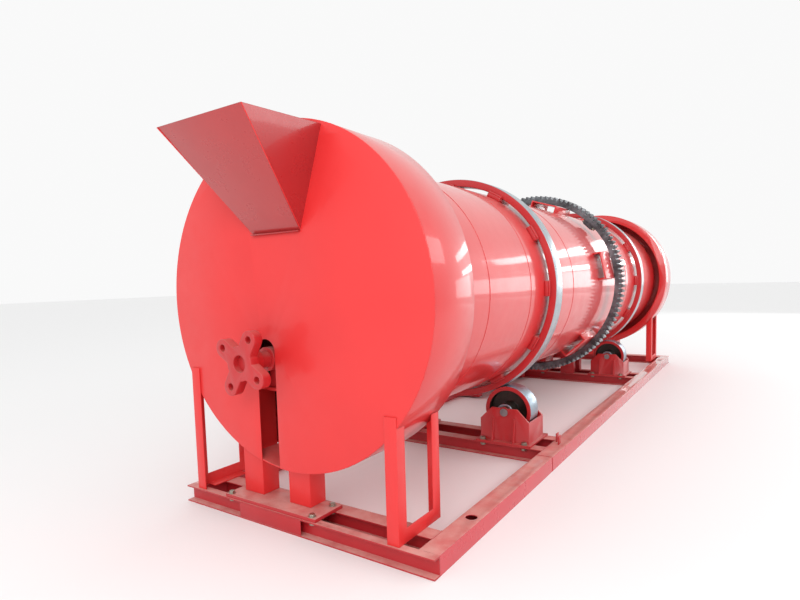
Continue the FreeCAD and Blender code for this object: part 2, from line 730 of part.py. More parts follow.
toward_pinion = math.atan2((pinion_z - axis).number, pinion_x.number)
half_gap = math.pi / gear_teeth.number
gear_part("girth_gear", gear_teeth, gear_bore, s.gear_width, toward_pinion + half_gap,
          drum_place(s.gear_face))
pinion_front = face + s.gear_face + (s.gear_width - s.pinion_width) / 2
gear_part("pinion", s.pinion_teeth, s.shaft_radius, s.pinion_width, toward_pinion + math.pi,
          (pinion_x, pinion_front, pinion_z))

half, leg = s.spring_half, s.spring_half - s.spring_thick
spring_top = root(gear_bore * gear_bore - half * half)
spring_under = spring_top - s.spring_thick
spring_foot = root(s.shell_radius * s.shell_radius - leg * leg)
spring_outline = [(-half, spring_foot), (-half, spring_top), (half, spring_top),
                  (half, spring_foot), (leg, spring_foot), (leg, spring_under),
                  (-leg, spring_under), (-leg, spring_foot)]
spring_turn = FreeCAD.Rotation(FreeCAD.Vector(0, 1, 0), s.spring_turn.number)
part("gear_spring_plates", around(spring_outline, s.spring_overhang + s.gear_width,
                                  drum_place(s.gear_face - s.spring_overhang), s.spring_count,
                                  spring_turn))


# Support rollers ---------------------------------------------------------------

def support_station(end_name, tyre_y, side_name, side):
    name = f"{end_name}_{side_name}"
    middle = face + tyre_y + s.tyre_width / 2
    x, z = side * roller_across, roller_height
    width, rim, hub = s.roller_width, s.roller_radius - s.roller_rim, s.roller_hub
    bush = s.axle_radius + s.bush_wall
    half, web, edge = width / 2, s.roller_web / 2, s.roller_edge
    boss = s.bracket_length / 2 - s.bracket_plate - s.roller_play
    outline = [
        (bush + s.running_gap, -boss), (hub, -boss), (hub, -web), (rim, -web), (rim, -half),
        (s.roller_radius - edge, -half), (s.roller_radius, -half + edge),
        (s.roller_radius, half - edge), (s.roller_radius - edge, half), (rim, half),
        (rim, web), (hub, web), (hub, boss),
        (bush + s.running_gap, boss)]
    part(f"support_roller_{name}", turned(outline, (x, middle, z)))
    bushes.append(turned(rectangle(s.axle_radius, -boss, bush, boss), (x, middle, z)))
    reach = s.bracket_length / 2 + s.axle_end
    axles.append(rod((x, middle - reach, z), s.axle_radius, reach * 2))

    low = deck + s.bracket_base
    wide, top = s.bracket_half, z + s.bracket_crown
    shoulder = z - s.bracket_shoulder
    flat = wide - s.bracket_flat
    cheek = [(x - wide, low), (x + wide, low), (x + wide, shoulder), (x + flat, top),
             (x - flat, top), (x - wide, shoulder)]
    pieces = []
    for start in (middle - s.bracket_length / 2,
                  middle + s.bracket_length / 2 - s.bracket_plate):
        blank = plate("XZ_Plane", [cheek], s.bracket_plate, (0, start, 0), backwards=True)
        seat = rod((x, start - 1, z), s.axle_radius, s.bracket_plate + 2)
        mouth = box((x - s.axle_radius, start - 1, z), (s.axle_radius * 2, s.bracket_plate + 2, 80))
        pieces.append(cut(blank, [seat, mouth]))
    room = s.bracket_length - 2 * s.bracket_plate
    for start in (x - wide, x + wide - s.bracket_plate):
        pieces.append(box((start, middle - room / 2, low), (s.bracket_plate, room, shoulder - low)))
    rib_top = z - s.rib_drop
    for way in (-1, 1):
        for end in (-1, 1):
            cheek_face = middle + end * s.bracket_length / 2
            rib = [(cheek_face, low), (cheek_face + end * (s.rib_reach - 4), low),
                   (cheek_face + end * 12, rib_top), (cheek_face, rib_top)]
            rib_x = x + way * s.rib_offset - s.bracket_plate / 2
            pieces.append(plate("YZ_Plane", [rib], s.bracket_plate, (rib_x, 0, 0)))
    base_x = wide + s.bracket_toe
    base_y = s.bracket_length / 2 + s.rib_reach
    base = box((x - base_x, middle - base_y, deck), (base_x * 2, base_y * 2, s.bracket_base))
    holes = [rod((at_x, at_y, deck - 1), s.bolt_radius + s.bolt_gap, s.bracket_base + 2, ALONG_Z)
             for at_x, at_y in bracket_bolt_places(tyre_y, side)]
    pieces.append(cut(base, holes))
    part(f"roller_bracket_{name}", joined(pieces))
    for at_x, at_y in bracket_bolt_places(tyre_y, side):
        frame_bolts.append(bolt((at_x, at_y, low), s.bracket_base + s.flange_thick))


bushes, axles, frame_bolts = [], [], []
for end_name, tyre_y in tyres.items():
    for side_name, side in sides.items():
        support_station(end_name, tyre_y, side_name, side)
part("roller_bushes", grouped(bushes))
part("roller_axles", grouped(axles))


def thrust_station(word, end):
    side_face = face + rear_tyre + (s.tyre_width if end > 0 else 0)
    y = side_face + end * (s.thrust_radius + s.roller_gap)
    low = axis - tyre_radius - s.thrust_below
    outline = rectangle(s.thrust_pin + s.running_gap, 0, s.thrust_radius, s.thrust_height)
    upright = FreeCAD.Rotation(FreeCAD.Vector(1, 0, 0), 90)
    part(f"thrust_roller_{word}", turned(outline, (0, y, low), turn=upright))
    shelf = low - s.thrust_collar
    root_low, tip_high = shelf - s.thrust_socket, low + s.thrust_height + s.thrust_tip
    stem = [
        rod((0, y, root_low), s.thrust_pin, tip_high - root_low, ALONG_Z),
        rod((0, y, shelf), s.thrust_pin + s.thrust_ledge, s.thrust_collar - s.running_gap,
            ALONG_Z)]
    thrust_pins.append(joined(stem))
    block = box((-s.thrust_block / 2, y - s.thrust_block_deep / 2, deck),
                (s.thrust_block, s.thrust_block_deep, shelf - deck))
    socket = rod((0, y, root_low), s.thrust_pin, s.thrust_socket + 1, ALONG_Z)
    thrust_pedestals.append(cut(block, [socket]))


thrust_pins, thrust_pedestals = [], []
thrust_station("near", -1)
thrust_station("far", 1)
part("thrust_pins", grouped(thrust_pins))
part("thrust_pedestals", grouped(thrust_pedestals))


# Feed hood ----------------------------------------------------------------------

def hood_disc(start, radius):
    return rod((0, face + start, axis), radius, s.hood_plate)


slot_x = breaker_x - s.slot_half
slot_z = breaker_z + s.slot_rise
slot_cuts = [
    box((slot_x, face - 1, 0), (s.slot_half * 2, s.hood_plate + 2, slot_z)),
    rod((breaker_x, face - 1, slot_z), s.slot_half, s.hood_plate + 2)]
hopper_x = -s.hopper_across
opening_low = axis + s.hopper_low + s.feed_margin
opening_high = axis + s.hopper_high - s.feed_top
low_half, high_half = s.hopper_foot - s.feed_margin, s.hopper_back - s.feed_side
opening = plate("XZ_Plane", [[
    (hopper_x - low_half, opening_low), (hopper_x + low_half, opening_low),
    (hopper_x + high_half, opening_high), (hopper_x - high_half, opening_high)]],
    s.hood_plate + 2, (0, face - 1, 0), backwards=True)
part("feed_face_plate", cut(hood_disc(0, hood_radius), slot_cuts + [opening]))
seal_inner = s.shell_radius + s.seal_gap
rim_inner = hood_radius - s.hood_plate
back_face = s.hood_depth - s.hood_plate
rim_outline = [(rim_inner, s.hood_plate), (hood_radius, s.hood_plate),
               (hood_radius, s.hood_depth), (seal_inner, s.hood_depth),
               (seal_inner, back_face), (rim_inner, back_face)]
room = s.post_room
post_rooms = [box((-left - room, face + s.post_front - room, 0),
                  (s.post_width + 2 * room, s.post_depth + 2 * room, axis - hood_radius / 2))
              for left in (s.post_left, s.post_right)]
part("feed_hood_rim", cut(turned(rim_outline, (0, face, axis)), post_rooms))


def hopper_solid(inset):
    """The hopper's outer wedge, or the same wedge moved in by the plate thickness.

    A sloping plate takes more than its thickness where it is measured level."""
    sloping, upright, past = inset * 1.5, inset * 1.1, (1.0 if inset else 0.0)
    low, high = s.hopper_low.number + sloping, s.hopper_high.number + 2 * past
    foot = s.hopper_foot.number - inset * 0.6
    back = s.hopper_back.number - upright
    mouth = s.hopper_mouth.number - sloping
    reach = s.hopper_reach.number - sloping
    shift = past
    corners = [FreeCAD.Vector(*xyz) for xyz in (
        (-foot, shift, low), (foot, shift, low), (-back, shift, high), (back, shift, high),
        (-mouth, -reach, high), (mouth, -reach, high))]
    faces = [(0, 1, 3, 2), (0, 1, 5, 4), (1, 3, 5), (0, 4, 2), (2, 3, 5, 4)]
    sheets = [Part.Face(Part.makePolygon([corners[i] for i in ring + ring[:1]])) for ring in faces]
    return Part.Solid(Part.Shell(sheets))


hopper = doc.addObject("Part::Feature", "Hopper")
hopper.Shape = hopper_solid(0).cut(hopper_solid(s.hopper_plate.number))
place(hopper, (hopper_x, face, axis))
foot_lip = box((hopper_x - s.hopper_foot, face - s.foot_lip,
                axis + s.hopper_low - s.hood_plate),
               (s.hopper_foot * 2, s.foot_lip, s.hood_plate))
part("feed_hopper", joined([hopper, foot_lip]))

wall, tall = s.hood_plate, s.chute_wall
chute_top, chute_end = axis + s.hopper_low - wall, axis + s.chute_drop
chute_back = face + s.chute_reach
chute_side = [(face + wall, chute_top), (chute_back, chute_end),
              (chute_back, chute_end + tall), (face + wall, chute_top + tall)]
chute_room = [(face + wall - 1, chute_top + wall), (chute_back + 1, chute_end + wall),
              (chute_back + 1, chute_end + tall + 1), (face + wall - 1, chute_top + tall + 1)]
chute_half = s.hopper_foot + s.foot_lip
chute = plate("YZ_Plane", [chute_side], chute_half * 2, (hopper_x - chute_half, 0, 0))
trough = plate("YZ_Plane", [chute_room], (chute_half - wall) * 2,
               (hopper_x - chute_half + wall, 0, 0))
part("feed_chute", cut(chute, [trough]))


def angle_leg(corner_x, y, way, top, faces_front):
    """Angle iron upright: one flange across the machine at its front or its back, one along it."""
    wide, thick = s.leg_width, s.leg_thick
    near, step, far = (0, thick, wide) if faces_front else (wide, wide - thick, 0)
    across = [(corner_x, near), (corner_x - way * wide, near), (corner_x - way * wide, step),
              (corner_x - way * thick, step), (corner_x - way * thick, far), (corner_x, far)]
    return plate("XY_Plane", [across], top - deck, (0, y, deck))


def hood_legs(corner, way):
    front_y, back_y = face - s.leg_thick, face + s.leg_back
    thick, wide = s.leg_thick, s.leg_width
    reach = hood_radius * hood_radius
    inner = root(reach - (corner - thick) * (corner - thick))
    top = axis - inner + s.leg_overlap
    posts = [angle_leg(way * corner, front_y, way, top, True),
             angle_leg(way * corner, back_y, way, top, False)]
    left = way * corner - (thick if way > 0 else 0)
    rail = box((left, front_y + wide, deck), (thick, back_y - front_y - wide, wide))
    shelf_left = way * corner - (wide if way > 0 else 0)
    shelf = box((shelf_left, front_y + wide, deck), (wide, back_y - front_y - wide, thick))
    frame = joined(posts + [rail, shelf])
    return cut(frame, [rod((0, face, axis), hood_radius, s.hood_depth + 60)])


part("feed_hood_legs", grouped([hood_legs(hood_radius - s.leg_right_inset, 1),
                                hood_legs(hood_radius - s.leg_left_inset, -1)]))


# Breaker shaft -------------------------------------------------------------------

breaker_front = face - s.breaker_nose
rear_bearing = face + rear_back + s.rear_post_gap
breaker_end = rear_bearing + s.breaker_tail
hub_front = face - s.flange_front
part("breaker_shaft", rod((breaker_x, breaker_front, breaker_z), s.breaker_radius,
                          breaker_end - breaker_front))


def coupling_flange():
    centre = (breaker_x, hub_front, breaker_z)
    thick, lug, pitch = s.flange_thick_hub, s.flange_lug, s.flange_pitch
    lean = s.flange_turn.number
    pieces = [rod(centre, s.flange_core, thick)]
    pieces.append(rod((breaker_x, hub_front + thick, breaker_z), s.flange_neck, thick))
    holes = [rod((breaker_x, hub_front - 1, breaker_z), s.breaker_radius, thick * 2 + 2)]
    for quarter in (0, 1):
        arm = rectangle(-lug, -pitch, lug, pitch)
        turn = FreeCAD.Rotation(FreeCAD.Vector(0, 1, 0), lean + 90 * quarter)
        pieces.append(plate("XZ_Plane", [arm], thick, centre, backwards=True, turn=turn))
    for quarter in range(4):
        lean_now = s.flange_turn + 90 * quarter
        x = breaker_x + pitch * sine(lean_now)
        z = breaker_z + pitch * cosine(lean_now)
        pieces.append(rod((x, hub_front, z), lug, thick))
        holes.append(rod((x, hub_front - 1, z), s.flange_hole, thick + 2))
    part("breaker_coupling_flange", cut(joined(pieces), holes))


coupling_flange()
arms = []
arm_start = face + s.drum_front + s.flight_start + s.arm_margin
arm_step = (s.drum_length - 2 * (s.flight_start + s.arm_margin)) / s.arm_count
arm_length = s.breaker_reach - s.breaker_radius
for index in range(int(s.arm_count.number)):
    turn = FreeCAD.Rotation(FreeCAD.Vector(0, 1, 0), s.arm_turn.number * index)
    out = turn.multVec(FreeCAD.Vector(0, 0, 1))
    y = arm_start + arm_step * index
    for foot in (s.breaker_radius, -s.breaker_reach):
        start = (breaker_x + foot * out.x, y, breaker_z + foot * out.z)
        arms.append(rod(start, s.arm_radius, arm_length, turn))
part("beater_arms", grouped(arms))


def breaker_bearing(middle, foot, nose):
    half = s.bearing_length / 2
    wide = s.bearing_radius + s.bearing_ear
    pieces = [
        rod((breaker_x, middle - half - nose, breaker_z), s.bearing_radius,
            s.bearing_length + nose),
        box((breaker_x - s.bearing_radius, middle - half, foot),
            (s.bearing_radius * 2, s.bearing_length, breaker_z - foot)),
        box((breaker_x - wide, middle - half, foot), (wide * 2, s.bearing_length, s.bearing_foot))]
    bore = rod((breaker_x, middle - half - nose - 1, breaker_z), s.breaker_radius + s.running_gap,
               s.bearing_length + nose + 2)
    return cut(joined(pieces), [bore])


cap_top = breaker_z - s.cap_drop
post_low = deck + s.base_thick
base = box((base_left, face - s.base_front, deck),
           (base_right - base_left, s.post_front + s.post_depth + s.base_front, s.base_thick))
base_cuts = [rod((x, y, deck - 1), s.base_bolt + s.bolt_gap, s.base_thick + 2, ALONG_Z)
             for x, y in base_bolt_places()]
part("pedestal_base_plate", cut(base, base_cuts))
posts = []
for left in (s.post_left, s.post_right):
    outer = box((-left, face + s.post_front, post_low),
                (s.post_width, s.post_depth, cap_top - s.cap_thick - post_low))
    wall = s.post_wall
    hollow = box((-left + wall, face + s.post_front + wall, post_low - 1),
                 (s.post_width - 2 * wall, s.post_depth - 2 * wall,
                  cap_top - s.cap_thick - post_low + 2))
    posts.append(cut(outer, [hollow]))
part("pedestal_posts", grouped(posts))
edge = s.cap_edge
part("pedestal_cap_plate", box((-s.post_left - edge, face + s.post_front - edge,
                                cap_top - s.cap_thick),
                               (s.post_left - s.post_right + s.post_width + 2 * edge,
                                s.post_depth + 2 * edge, s.cap_thick)))
front_bearing = face + s.post_front + s.post_depth / 2
for x, y in base_bolt_places():
    frame_bolts.append(bolt((x, y, post_low), s.base_thick + s.flange_thick, s.base_bolt))
part("frame_bolts", grouped(frame_bolts))
half, half_deep, pad = s.post_width / 2, s.rear_post_depth / 2, s.rear_pad
wide = half + s.bearing_ear - 4
rear_post = joined([
    box((breaker_x - wide, rear_bearing - s.cross_flange / 2, deck),
        (wide * 2, s.cross_flange, pad)),
    box((breaker_x - half, rear_bearing - half_deep, deck + pad),
        (half * 2, half_deep * 2, cap_top - deck - 2 * pad)),
    box((breaker_x - wide, rear_bearing - s.bearing_length / 2, cap_top - pad),
        (wide * 2, s.bearing_length, pad))])
part("rear_bearing_pedestal", rear_post)
part("breaker_bearings", grouped([breaker_bearing(front_bearing, cap_top, s.bearing_nose),
                                  breaker_bearing(rear_bearing, cap_top, 0)]))


# Discharge hood --------------------------------------------------------------------

plate_t = s.hood_plate
chute_x = s.chute_half
chute_front, chute_long = face + rear_face + s.chute_inset, s.rear_depth - 2 * s.chute_inset
mouth_cut = box((-chute_x, chute_front, axis - rear_radius - 50),
                (chute_x * 2, chute_long, rear_radius * 0.6))
rear_inner, rear_end = rear_radius - plate_t, s.rear_depth - plate_t
rear_outline = [(rear_opening, 0), (rear_radius, 0), (rear_radius, rear_end),
                (rear_inner, rear_end), (rear_inner, plate_t), (rear_opening, plate_t)]
rear_rim = turned(rear_outline, drum_place(rear_face))
part("discharge_hood_rim", cut(rear_rim, [mouth_cut]))
gas_x, gas_z = s.gas_across, axis + s.gas_up
rear_plate = rod((0, face + rear_back - plate_t, axis), rear_radius, plate_t)
part("discharge_back_plate", cut(rear_plate, [
    rod((breaker_x, face + rear_back - plate_t - 1, breaker_z), s.breaker_radius + s.shaft_room,
        plate_t + 2),
    rod((gas_x, face + rear_back - plate_t - 1, gas_z), s.gas_radius - plate_t, plate_t + 2)]))
gas_end = face + rear_back + s.gas_length
gas_pipe = rod((gas_x, face + rear_back, gas_z), s.gas_radius, s.gas_length)
gas_rim = rod((gas_x, gas_end, gas_z), s.gas_flange, s.gas_rim)
gas_cuts = [rod((gas_x, face + rear_back - 1, gas_z), s.gas_radius - plate_t,
                s.gas_length + s.gas_rim + 2)]
for index in range(int(s.gas_holes.number)):
    lean = sized((index + 0.5) * 360) / s.gas_holes
    gas_cuts.append(rod((gas_x + s.gas_pitch * sine(lean), gas_end - 1,
                         gas_z + s.gas_pitch * cosine(lean)), s.gas_hole, s.gas_rim + 2))
part("gas_outlet", cut(joined([gas_pipe, gas_rim]), gas_cuts))
hood_under = axis - root(rear_radius * rear_radius - chute_x * chute_x)
chute_tall = hood_under - s.chute_foot + s.chute_inset
chute_outer = box((-chute_x, chute_front, s.chute_foot), (chute_x * 2, chute_long, chute_tall))
chute_inner = box((-chute_x + plate_t, chute_front + plate_t, s.chute_foot - 1),
                  (chute_x * 2 - 2 * plate_t, chute_long - 2 * plate_t, chute_tall + 2))
part("discharge_chute", cut(chute_outer, [
    chute_inner, rod((0, face + rear_face, axis), rear_radius, s.rear_depth)]))


def rear_legs(way):
    corner = rear_radius - s.rear_leg_inset
    top = axis - root(rear_radius * rear_radius - corner * corner) + s.leg_overlap
    front_y = face + rear_face - s.rear_leg_front
    back_y = face + rear_back - s.leg_width - s.rear_leg_back
    posts = [angle_leg(way * corner, front_y, way, top, True),
             angle_leg(way * corner, back_y, way, top, False)]
    left = way * corner - (s.leg_thick if way > 0 else 0)
    rail = box((left, front_y + s.leg_width, deck),
               (s.leg_thick, back_y - front_y - s.leg_width, s.leg_width))
    return cut(joined(posts + [rail]), [
        rod((0, front_y - 1, axis), rear_radius, s.rear_depth + 2 * s.rear_leg_front)])


part("discharge_hood_legs", grouped([rear_legs(1), rear_legs(-1)]))


# Drive -------------------------------------------------------------------------------

deck_top = deck + s.deck_thick
deck_front, deck_side = s.gear_face - s.deck_ahead, half_width + s.deck_beyond
deck_left, beam, rise = -deck_side, s.deck_beam, s.deck_inset
drive_pieces = [
    box((deck_left, face + deck_front, deck), (deck_side - s.deck_inner, s.deck_length,
                                                 s.deck_thick)),
    box((deck_left, face + deck_front, 0), (beam, s.deck_length, deck))]
for start in (deck_front + rise, deck_front + s.deck_length - rise - beam):
    drive_pieces.append(box((deck_left + beam, face + start, 0),
                            (deck_side - beam - half_width, beam, deck)))
    drive_pieces.append(box((-inner_edge, face + start, rise),
                            (inner_edge - s.deck_inner, beam, deck - rise)))
part("drive_deck", joined(drive_pieces))
pinion_shaft_front = pinion_front - s.pinion_overhang
reducer_face = face + s.gear_face + s.reducer_back
shaft_length = reducer_face + s.reducer_bore - pinion_shaft_front
part("pinion_shaft", rod((pinion_x, pinion_shaft_front, pinion_z), s.shaft_radius, shaft_length))


def pillow_block(middle):
    half, wide, length = s.block_length / 2, s.block_half, s.block_length
    foot, base, inset = pinion_z - s.block_height, s.block_base, s.block_inset
    housing = s.shaft_radius + s.block_wall
    pieces = [rod((pinion_x, middle - half, pinion_z), housing, length),
              box((pinion_x - wide, middle - half, foot), (wide * 2, length, s.block_foot)),
              box((pinion_x - housing, middle - half, foot),
                  (housing * 2, length, s.block_height))]
    bore = rod((pinion_x, middle - half - 1, pinion_z), s.shaft_radius + s.running_gap, length + 2)
    pinion_bearings.append(cut(joined(pieces), [bore]))
    pinion_pedestals.append(joined([
        box((pinion_x - wide, middle - half, foot - base), (wide * 2, length, base)),
        box((pinion_x - wide + 2 * inset, middle - half + inset, deck_top),
            ((wide - 2 * inset) * 2, length - 2 * inset, foot - base - deck_top))]))


block_gap = s.pinion_width / 2 + s.block_gap
pinion_middle = pinion_front + s.pinion_width / 2
pinion_bearings, pinion_pedestals = [], []
pillow_block(pinion_middle - block_gap)
pillow_block(pinion_middle + block_gap)
part("pinion_bearings", grouped(pinion_bearings))
part("pinion_pedestals", grouped(pinion_pedestals))


def jaw_coupling(label, start, half, x, bore, ends, ring, ring_start):
    """Two hubs and the wider ring between them, on one shaft."""
    part(label, cut(joined([rod((x, start, pinion_z), ends, s.coupling_length),
                            rod((x, start + ring_start, pinion_z), ring, half * 2)]),
                    [rod((x, start - 1, pinion_z), bore, s.coupling_length + 2)]))


jaw_coupling("pinion_coupling", reducer_face - s.coupling_length - s.coupling_gap,
             s.pinion_ring / 2, pinion_x, s.shaft_radius, s.shaft_radius + s.coupling_wall,
             s.shaft_radius + s.pinion_ring_rise, (s.coupling_length - s.pinion_ring) / 2)

input_x = pinion_x - s.reducer_offset
casing_low, casing_top = pinion_z - s.reducer_low, pinion_z + s.reducer_high
casing_left, casing_right = input_x - s.reducer_left, pinion_x + s.reducer_right
lip, split = s.split_lip, s.split_thick
reducer_back = reducer_face + s.reducer_length
casing = joined([
    box((casing_left, reducer_face, casing_low),
        (casing_right - casing_left, s.reducer_length, casing_top - casing_low)),
    box((casing_left - 2 * lip, reducer_face - lip, pinion_z - split / 2),
        (casing_right - casing_left + 3 * lip, s.reducer_length + 2 * lip, split))])
input_radius, input_reach = s.input_radius, s.reducer_bore - s.split_lip
part("reducer_casing", cut(casing, [
    rod((pinion_x, reducer_face - lip - 1, pinion_z), s.shaft_radius + s.running_gap,
        s.reducer_bore + lip + 2),
    rod((input_x, reducer_back - input_reach - 1, pinion_z), input_radius + s.running_gap,
        input_reach + lip + 2)]))
reducer_plinth = box((casing_left, reducer_face + s.plinth_inset, deck_top),
                     (casing_right - casing_left, s.reducer_length - 2 * s.plinth_inset,
                      casing_low - deck_top))
motor_face = reducer_back + s.motor_gap
motor_end = motor_face + s.motor_length
part("motor_shaft", rod((input_x, reducer_back - input_reach, pinion_z), input_radius,
                        motor_end - s.shaft_stop - reducer_back + input_reach))
jaw_coupling("motor_coupling", motor_face - s.coupling_length - s.motor_nose,
             s.motor_ring / 2, input_x, input_radius, s.motor_hub, s.motor_ring_radius,
             (s.coupling_length - s.motor_ring) / 2)
terminal_box = box((input_x - s.terminal_wide / 2, motor_face + s.terminal_back,
                    pinion_z + s.motor_radius - s.terminal_sunk),
                   (s.terminal_wide, s.terminal_long, s.terminal_high))
flange = s.motor_flange
part("motor_frame", cut(
    joined([terminal_box, rod((input_x, motor_face, pinion_z), s.motor_radius, s.motor_length),
            rod((input_x, motor_face - flange, pinion_z), s.motor_radius + s.motor_flange_rise,
                flange)]),
    [rod((input_x, motor_face - flange - 1, pinion_z), input_radius + s.running_gap,
         flange + 1 + s.motor_length - s.shaft_stop + 5)]))
part("motor_fan_cover", rod((input_x, motor_end, pinion_z), s.motor_radius + s.fan_rise,
                            s.fan_length))
motor_block = box((input_x - s.motor_foot / 2, motor_face + s.motor_inset, deck_top),
                  (s.motor_foot, s.motor_length - 2 * s.motor_inset,
                   pinion_z - s.motor_saddle - deck_top))
motor_plinth = cut(motor_block, [
    rod((input_x, motor_face + s.motor_inset - 1, pinion_z), s.motor_radius, s.motor_length)])
part("drive_plinths", grouped([reducer_plinth, motor_plinth]))


# Checks and files ----------------------------------------------------------------------

doc.recompute()
faults = [thing.Name for thing in doc.Objects
          if "Invalid" in thing.State or "Error" in thing.State]
if faults:
    raise RuntimeError(f"objects that did not build: {faults}")
names = [thing.Label for thing in parts]
if len(set(names)) != len(names):
    raise RuntimeError("two parts share a label")
for thing in parts:
    if thing.Shape.isNull() or not thing.Shape.isValid() or not thing.Shape.Solids:
        raise RuntimeError(f"{thing.Label} has no valid solid")
os.makedirs("parts", exist_ok=True)
for thing in parts:
    thing.Shape.exportStep(f"parts/{thing.Label}.step")
    print(thing.Label, len(thing.Shape.Solids), "solids", round(thing.Shape.Volume / 1e6, 2), "litres")
print(len(parts), "parts")
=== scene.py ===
# %% [markdown]
# A rotary drum dryer is a long steel drum that turns slowly on rollers while
# hot air and wet material pass through it. The engineering model is already
# packed, in metres, and this lesson builds the looks around it. First the
# frame is loaded.

# %% Load the frame
import json
import math

import bmesh
import bpy
from mathutils import Matrix, Vector

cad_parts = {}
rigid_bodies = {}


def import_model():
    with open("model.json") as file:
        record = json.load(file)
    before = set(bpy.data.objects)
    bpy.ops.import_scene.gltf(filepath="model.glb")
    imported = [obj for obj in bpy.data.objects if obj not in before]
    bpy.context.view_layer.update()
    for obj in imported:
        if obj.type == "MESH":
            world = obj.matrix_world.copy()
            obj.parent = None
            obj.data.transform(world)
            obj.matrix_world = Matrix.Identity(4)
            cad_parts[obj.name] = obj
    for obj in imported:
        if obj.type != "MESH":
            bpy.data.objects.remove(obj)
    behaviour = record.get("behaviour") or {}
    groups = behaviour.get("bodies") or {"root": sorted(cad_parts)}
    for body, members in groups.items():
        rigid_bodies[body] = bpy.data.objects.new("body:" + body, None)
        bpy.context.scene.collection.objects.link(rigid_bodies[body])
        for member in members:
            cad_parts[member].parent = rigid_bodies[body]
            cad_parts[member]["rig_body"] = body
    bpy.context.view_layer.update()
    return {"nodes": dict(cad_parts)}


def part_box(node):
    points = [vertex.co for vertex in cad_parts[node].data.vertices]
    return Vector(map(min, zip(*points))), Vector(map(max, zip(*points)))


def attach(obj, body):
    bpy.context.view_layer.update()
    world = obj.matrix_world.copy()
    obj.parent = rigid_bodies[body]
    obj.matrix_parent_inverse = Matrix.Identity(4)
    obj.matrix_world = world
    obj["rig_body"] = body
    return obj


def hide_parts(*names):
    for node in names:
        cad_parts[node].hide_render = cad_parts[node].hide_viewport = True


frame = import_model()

nodes = frame["nodes"]

# %% [markdown]
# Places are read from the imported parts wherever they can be. These few numbers
# come from the boxes of the main parts: the drum's axis, the shell, the hood.

# %% Measure the main parts
MM = 0.001


def centre(node):
    """The middle of a part's box."""
    low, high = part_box(node)
    return (low + high) / 2


def reach(node):
    """Half the width of a part's box, which is the radius of a round part."""
    low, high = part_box(node)
    return (high.x - low.x) / 2


def span(node):
    """Where a part starts and ends along the machine."""
    low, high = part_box(node)
    return low.y, high.y


def bore_of(node, middle):
    """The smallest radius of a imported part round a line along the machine."""
    return min(math.hypot(v.co.x - middle.x, v.co.z - middle.z)
               for v in nodes[node].data.vertices)


axis = centre("drum_shell")
shell_radius = reach("drum_shell")
shell_front, shell_back = span("drum_shell")
hood_radius = reach("feed_hood_rim")
hood_front = span("feed_hood_rim")[0]
print("axis height", round(axis.z, 3), "shell radius", round(shell_radius, 3))

# %% [markdown]
# Paint makers give colours as sRGB hex codes, and the shader wants linear
# light, so one function turns the first into the second. A second function
# adds one node with its settings and links, and every material and geometry
# tree below is made with it. The other four are what materials need most.

# %% Colour and node helpers
def linear(code):
    """An sRGB hex colour as linear RGBA."""
    parts = [int(code[i:i + 2], 16) / 255 for i in (1, 3, 5)]
    return tuple(c / 12.92 if c <= 0.04045 else ((c + 0.055) / 1.055) ** 2.4
                 for c in parts) + (1.0,)


def add(tree, kind, inputs=None, **settings):
    """One node. inputs maps a socket's name or number to a value or a link."""
    made = tree.nodes.new(kind)
    for name, value in settings.items():
        setattr(made, name, value)
    for name, value in (inputs or {}).items():
        if isinstance(value, bpy.types.NodeSocket):
            tree.links.new(value, made.inputs[name])
        else:
            made.inputs[name].default_value = value
    return made


def new_finish(name):
    """A material, its tree, its shader and the place on the object."""
    made = bpy.data.materials.new(name)
    made.use_nodes = True
    tree = made.node_tree
    return (made, tree, tree.nodes["Principled BSDF"],
            add(tree, "ShaderNodeTexCoord").outputs["Object"])


def noise(tree, place, scale, detail, roughness=0.5):
    """Cloudy noise over the object's own place."""
    return add(tree, "ShaderNodeTexNoise",
               {"Vector": place, "Scale": scale, "Detail": detail,
                "Roughness": roughness})


def ranged(tree, value, start, end, low=0.0, high=1.0):
    """A value between start and end, stretched to run from low to high."""
    return add(tree, "ShaderNodeMapRange",
               {"Value": value, "From Min": start, "From Max": end,
                "To Min": low, "To Max": high}).outputs[0]


def blend_of(tree, factor, first, second):
    """One colour laid over another by a factor."""
    return add(tree, "ShaderNodeMix", {0: factor, 6: first, 7: second},
               data_type="RGBA").outputs[2]


print("red enamel in linear light:", [round(c, 3) for c in linear("#e23330")])

# %% [markdown]
# Shop paint on welded steel is never one even colour. Four things show on it:
# the tone drifts a little from sheet to sheet, the gloss has orange peel from
# the spray gun, dust lies on what faces up, and the paint is thin or rubbed
# on the edges. One function mixes these in the amounts that each part of the
# machine has, so all the reds stay one family.
#
# The scales are real ones: orange peel is about 4 mm from crest to crest, and
# is drawn at 9 mm so that it shows from across a yard. Dust gathers in
# patches about 120 mm wide, and the sheets' slow waves are about 400 mm.

# %% Sprayed enamel
ORANGE_PEEL = 1 / 0.009
DUST_PATCH = 1 / 0.12
SHEET_WAVE = 1 / 0.4
DUST_COLOUR = "#d9a39a"
PRIMER = "#8d4a44"


